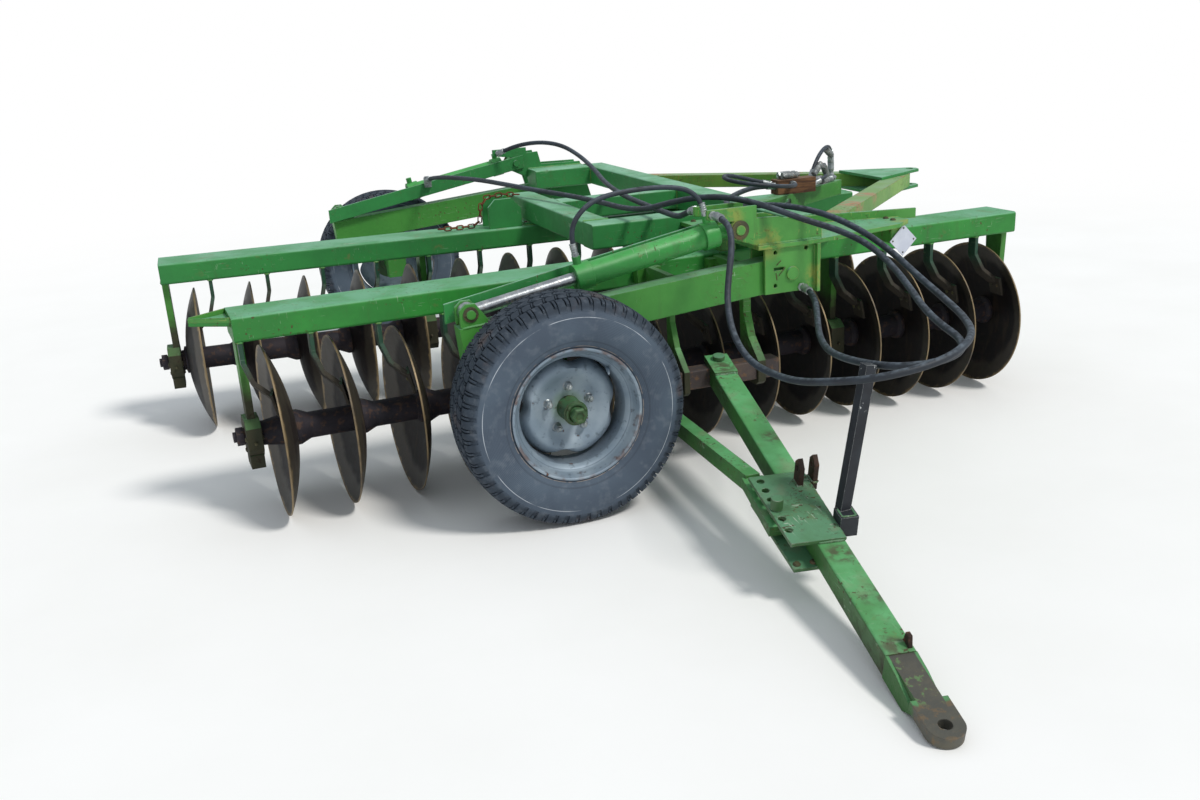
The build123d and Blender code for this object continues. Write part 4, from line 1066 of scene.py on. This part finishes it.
# %% Bolts on the gangs: each bearing's middle, half length and half width, and its leg's middle
GANGS = (
    (FRONT, -1, ((-127, 24, 62, -127), (1182, 28, 74, 1182), (2042, 28, 74, 2042), (2847.5, 24, 62, 2835.5))),
    (REAR, 1, ((-52.5, 24, 62, -40.5), (967, 28, 74, 967), (2042, 28, 74, 2042), (2922, 24, 62, 2922))),
)
PADS = ((REAR, 1476), (REAR, 2115), (FRONT, 1843))
NIPPLE = [(-1, 5), (5, 5), (6, 3.4), (11, 4.4), (13, 3)]
bm = bmesh.new()
for gang, facing, bearings in GANGS:
    for x, half, out, leg in bearings:
        for s in (-1, 1):
            for y, z in ((out - 15, 0), (15 - out, 0), (0, 15 - out)):
                bolt(bm, gang.at(x + s * half, y, AXLE + z), gang.way(s, 0, 0), 8.0)
        turned(bm, gang.at(x, -out, AXLE - 12), gang.way(0, -1, 0), NIPPLE, 10)
    for k in range(DISCS):
        for y in (-104, -140):
            bolt(bm, gang.at(k * PITCH + facing * 60.5, y, 412), gang.way(facing, 0, -0.2), 7.0)
for gang, x in PADS:
    for dx in (-61, 61):
        for dy in (-52, 52):
            bolt(bm, gang.at(x + dx, dy, 692), (0, 0, 1), 8.0)
print("bolts on", len(GANGS), "gangs")

# %% Bolts, pivots and cut marks on the towers and the box
PIVOT = [(0, 31), (4, 31), (5, 29), (5, 22)]
turned(bm, at(1500, FRONT_FACE, 815), (0, -1, 0), PIVOT, 28)
for x, z in ((1500, 815), (1690, 654)):
    turned(bm, at(x, REAR_FACE, z), (0, 1, 0), PIVOT, 28)
for a, b in (((1632, 686), (1648, 700)), ((1664, 676), (1640, 650)), ((1630, 660), (1634, 636))):
    tube(bm, [at(x, FRONT_FACE, z) for x, z in (a, b)], [1.8, 1.8], 6)
for x, z in ((1588, 770), (1830, 770), (1610, 640)):
    bolt(bm, at(x, REAR_INNER, z), (0, -1, 0), 13.0)
for x, y in ((2172, -224), (2172, -180), (1600, -180), (1760, 200), (1600, 200)):
    bolt(bm, at(x, y, 758), (0, 0, 1), 10.0)
for dx, dz in ((-30, -30), (30, -30), (-30, 30), (30, 30)):
    u, v = (dx + dz) * 0.7071, (dz - dx) * 0.7071
    turned(bm, at(2196 + u, -255.5, 690 + v), (0, -1, 0), [(0, 3.4), (1.0, 3.2), (1.8, 2.0)], 10)
piece("frame_bolts", bm, "pin", "frame")
print("bolts on the frame")

# %% Bolts on the arms and the drawbar
ARMS = (("front", -314, -1), ("rear", 2150, 1))
for prefix, y, out in ARMS:
    bm = bmesh.new()
    for s in (-1, 1):
        turned(bm, at(600, y + s * 34.5, 655), (0, s, 0), [(0, 24), (3.5, 24), (4, 22), (4, 14)], 24)
        tube(bm, [at(x, y + s * 41, 655) for x in (582, 618)], [2.4, 2.4], 8)
    bolt(bm, at(858, y + out * 36, 560), (0, out, 0), 12.0)
    bolt(bm, at(838, y + out * 36, 600), (0, out, 0), 12.0)
    piece(prefix + "_arm_washers", bm, "pin", prefix + "_arm")
bm = bmesh.new()
for y in (-86, -40):
    bolt(bm, BAR.at(1000, y, -33), BAR_UP, 10.0)
turned(bm, BAR.at(-33, 0, 34), BAR_UP, [(0, 30), (5, 30), (6, 28), (6, 20)], 24)
for x in (1226, 1272):
    bolt(bm, at(x, -364, 350), (0, -1, 0), 9.0)
piece("drawbar_bolts", bm, "pin", "drawbar")
print("bolts on", len(ARMS), "arms and the drawbar")

# %% [markdown]
# ## Weld beads
# Welds show at every joint of such a frame: uneven, rippled ridges under the paint. A bead is a thin tube
# whose radius swells at each ripple, half sunk in the corner that it fills.

# %% Welds on the frame
bm = bmesh.new()
for gang, facing, bearings in GANGS:
    for x, half, out, leg in bearings:
        weld_round(bm, gang, (leg, 0, BEAM_FOOT), (13, 46), 4.0)
    for k in range(DISCS):
        weld_round(bm, gang, (k * PITCH + facing * 128, -66, BEAM_FOOT), (8, 20), 3.2)
for gang, x in PADS:
    weld_round(bm, gang, (x, 0, 682.5), (70, 72), 4.0)
    for s in (-54, 54):
        weld(bm, gang.at(x + s, -70, 693), gang.at(x + s, 70, 693), 4.0)
BEADS = (
    ((1216, 330, 782), (1316, 330, 782)), ((1852, 228, 782), (1852, 326, 782)),
    ((1852, 224, 778), (1852, 224, 696)), ((1319, 902, 778), (1319, 988, 778)),
    ((1319, 900, 776), (1319, 900, 700)), ((1852, 902, 778), (1852, 988, 778)),
    ((1852, 900, 776), (1852, 900, 700)), ((1852, 1962, 782), (1852, 2056, 782)),
    ((1852, 1960, 780), (1852, 1960, 696)), ((1592, FRONT_FACE, 743.5), (1772, FRONT_FACE, 743.5)),
    ((1774, FRONT_FACE, 740), (1774, FRONT_FACE, 596)), ((1564, FRONT_FACE, 759), (1796, FRONT_FACE, 759)),
    ((1564, -261, 759), (1796, -261, 759)), ((1562, REAR_INNER, 782), (1850, REAR_INNER, 782)),
    ((1958, -106, 742), (1958, -2, 742)), ((1958, 1750, 742), (1958, 1850, 742)),
    ((1958, -104, 686), (1958, -104, 740)), ((1958, 1848, 686), (1958, 1848, 740)),
)
for start, stop in BEADS:
    weld(bm, at(*start), at(*stop))
weld(bm, FRONT.at(-144, -68, 651), FRONT.at(-144, 82, 651), 4.0)

# %% Lips along the two edges of the beam's ear: the root's y, then the tip's place and its inner y
for root, tip_x, tip_y, wall, inner in ((-70, -262, 10, 5, 13), (84, -258, 30, -5, 27)):
    faces = []
    for y0, y1 in ((root, tip_y), (root + wall, inner)):
        faces.append([FRONT.at(*corner) for corner in (
            (-144, y0, 663), (tip_x, y1, 663), (tip_x, y1, 676), (-144, y0, 680))])
    prism(bm, *faces)
piece("frame_welds", bm, "carriage", "frame")
print("welds on the frame")

# %% Welds on the drawbar and the arms
bm = bmesh.new()
for start, stop in (((690, 39.5, 34), (1006, 39.5, 34)), ((690, -40, 33), (1006, -40, 33)),
                    ((1010, -36, 34), (1010, 36, 34)), ((58, -38, 33), (58, 38, 33))):
    weld(bm, BAR.at(*start), BAR.at(*stop))
for x, y in ((740, 4), (728, 50)):
    weld_round(bm, BAR, (x, y, 44), (20, 8), 3.6)
weld_round(bm, BAR, (940, 64, 69), (19, 19), 3.4)
piece("drawbar_welds", bm, "plate", "drawbar")
for prefix, y, out in ARMS:
    bm = bmesh.new()
    for s in (-34.5, 34.5):
        weld(bm, at(572, y + s, 614.5), at(664, y + s, 622), 4.0)
    for s in (-28, 28):
        weld(bm, at(804, y + s, 528), at(900, y + s, 532), 4.0)
    piece(prefix + "_arm_welds", bm, "arm", prefix + "_arm")
print("welds on the drawbar and the arms")

# %% Print the boxes and close
look_box = [list(corner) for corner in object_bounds()]
print("visual box", [[round(v, 3) for v in corner] for corner in look_box])
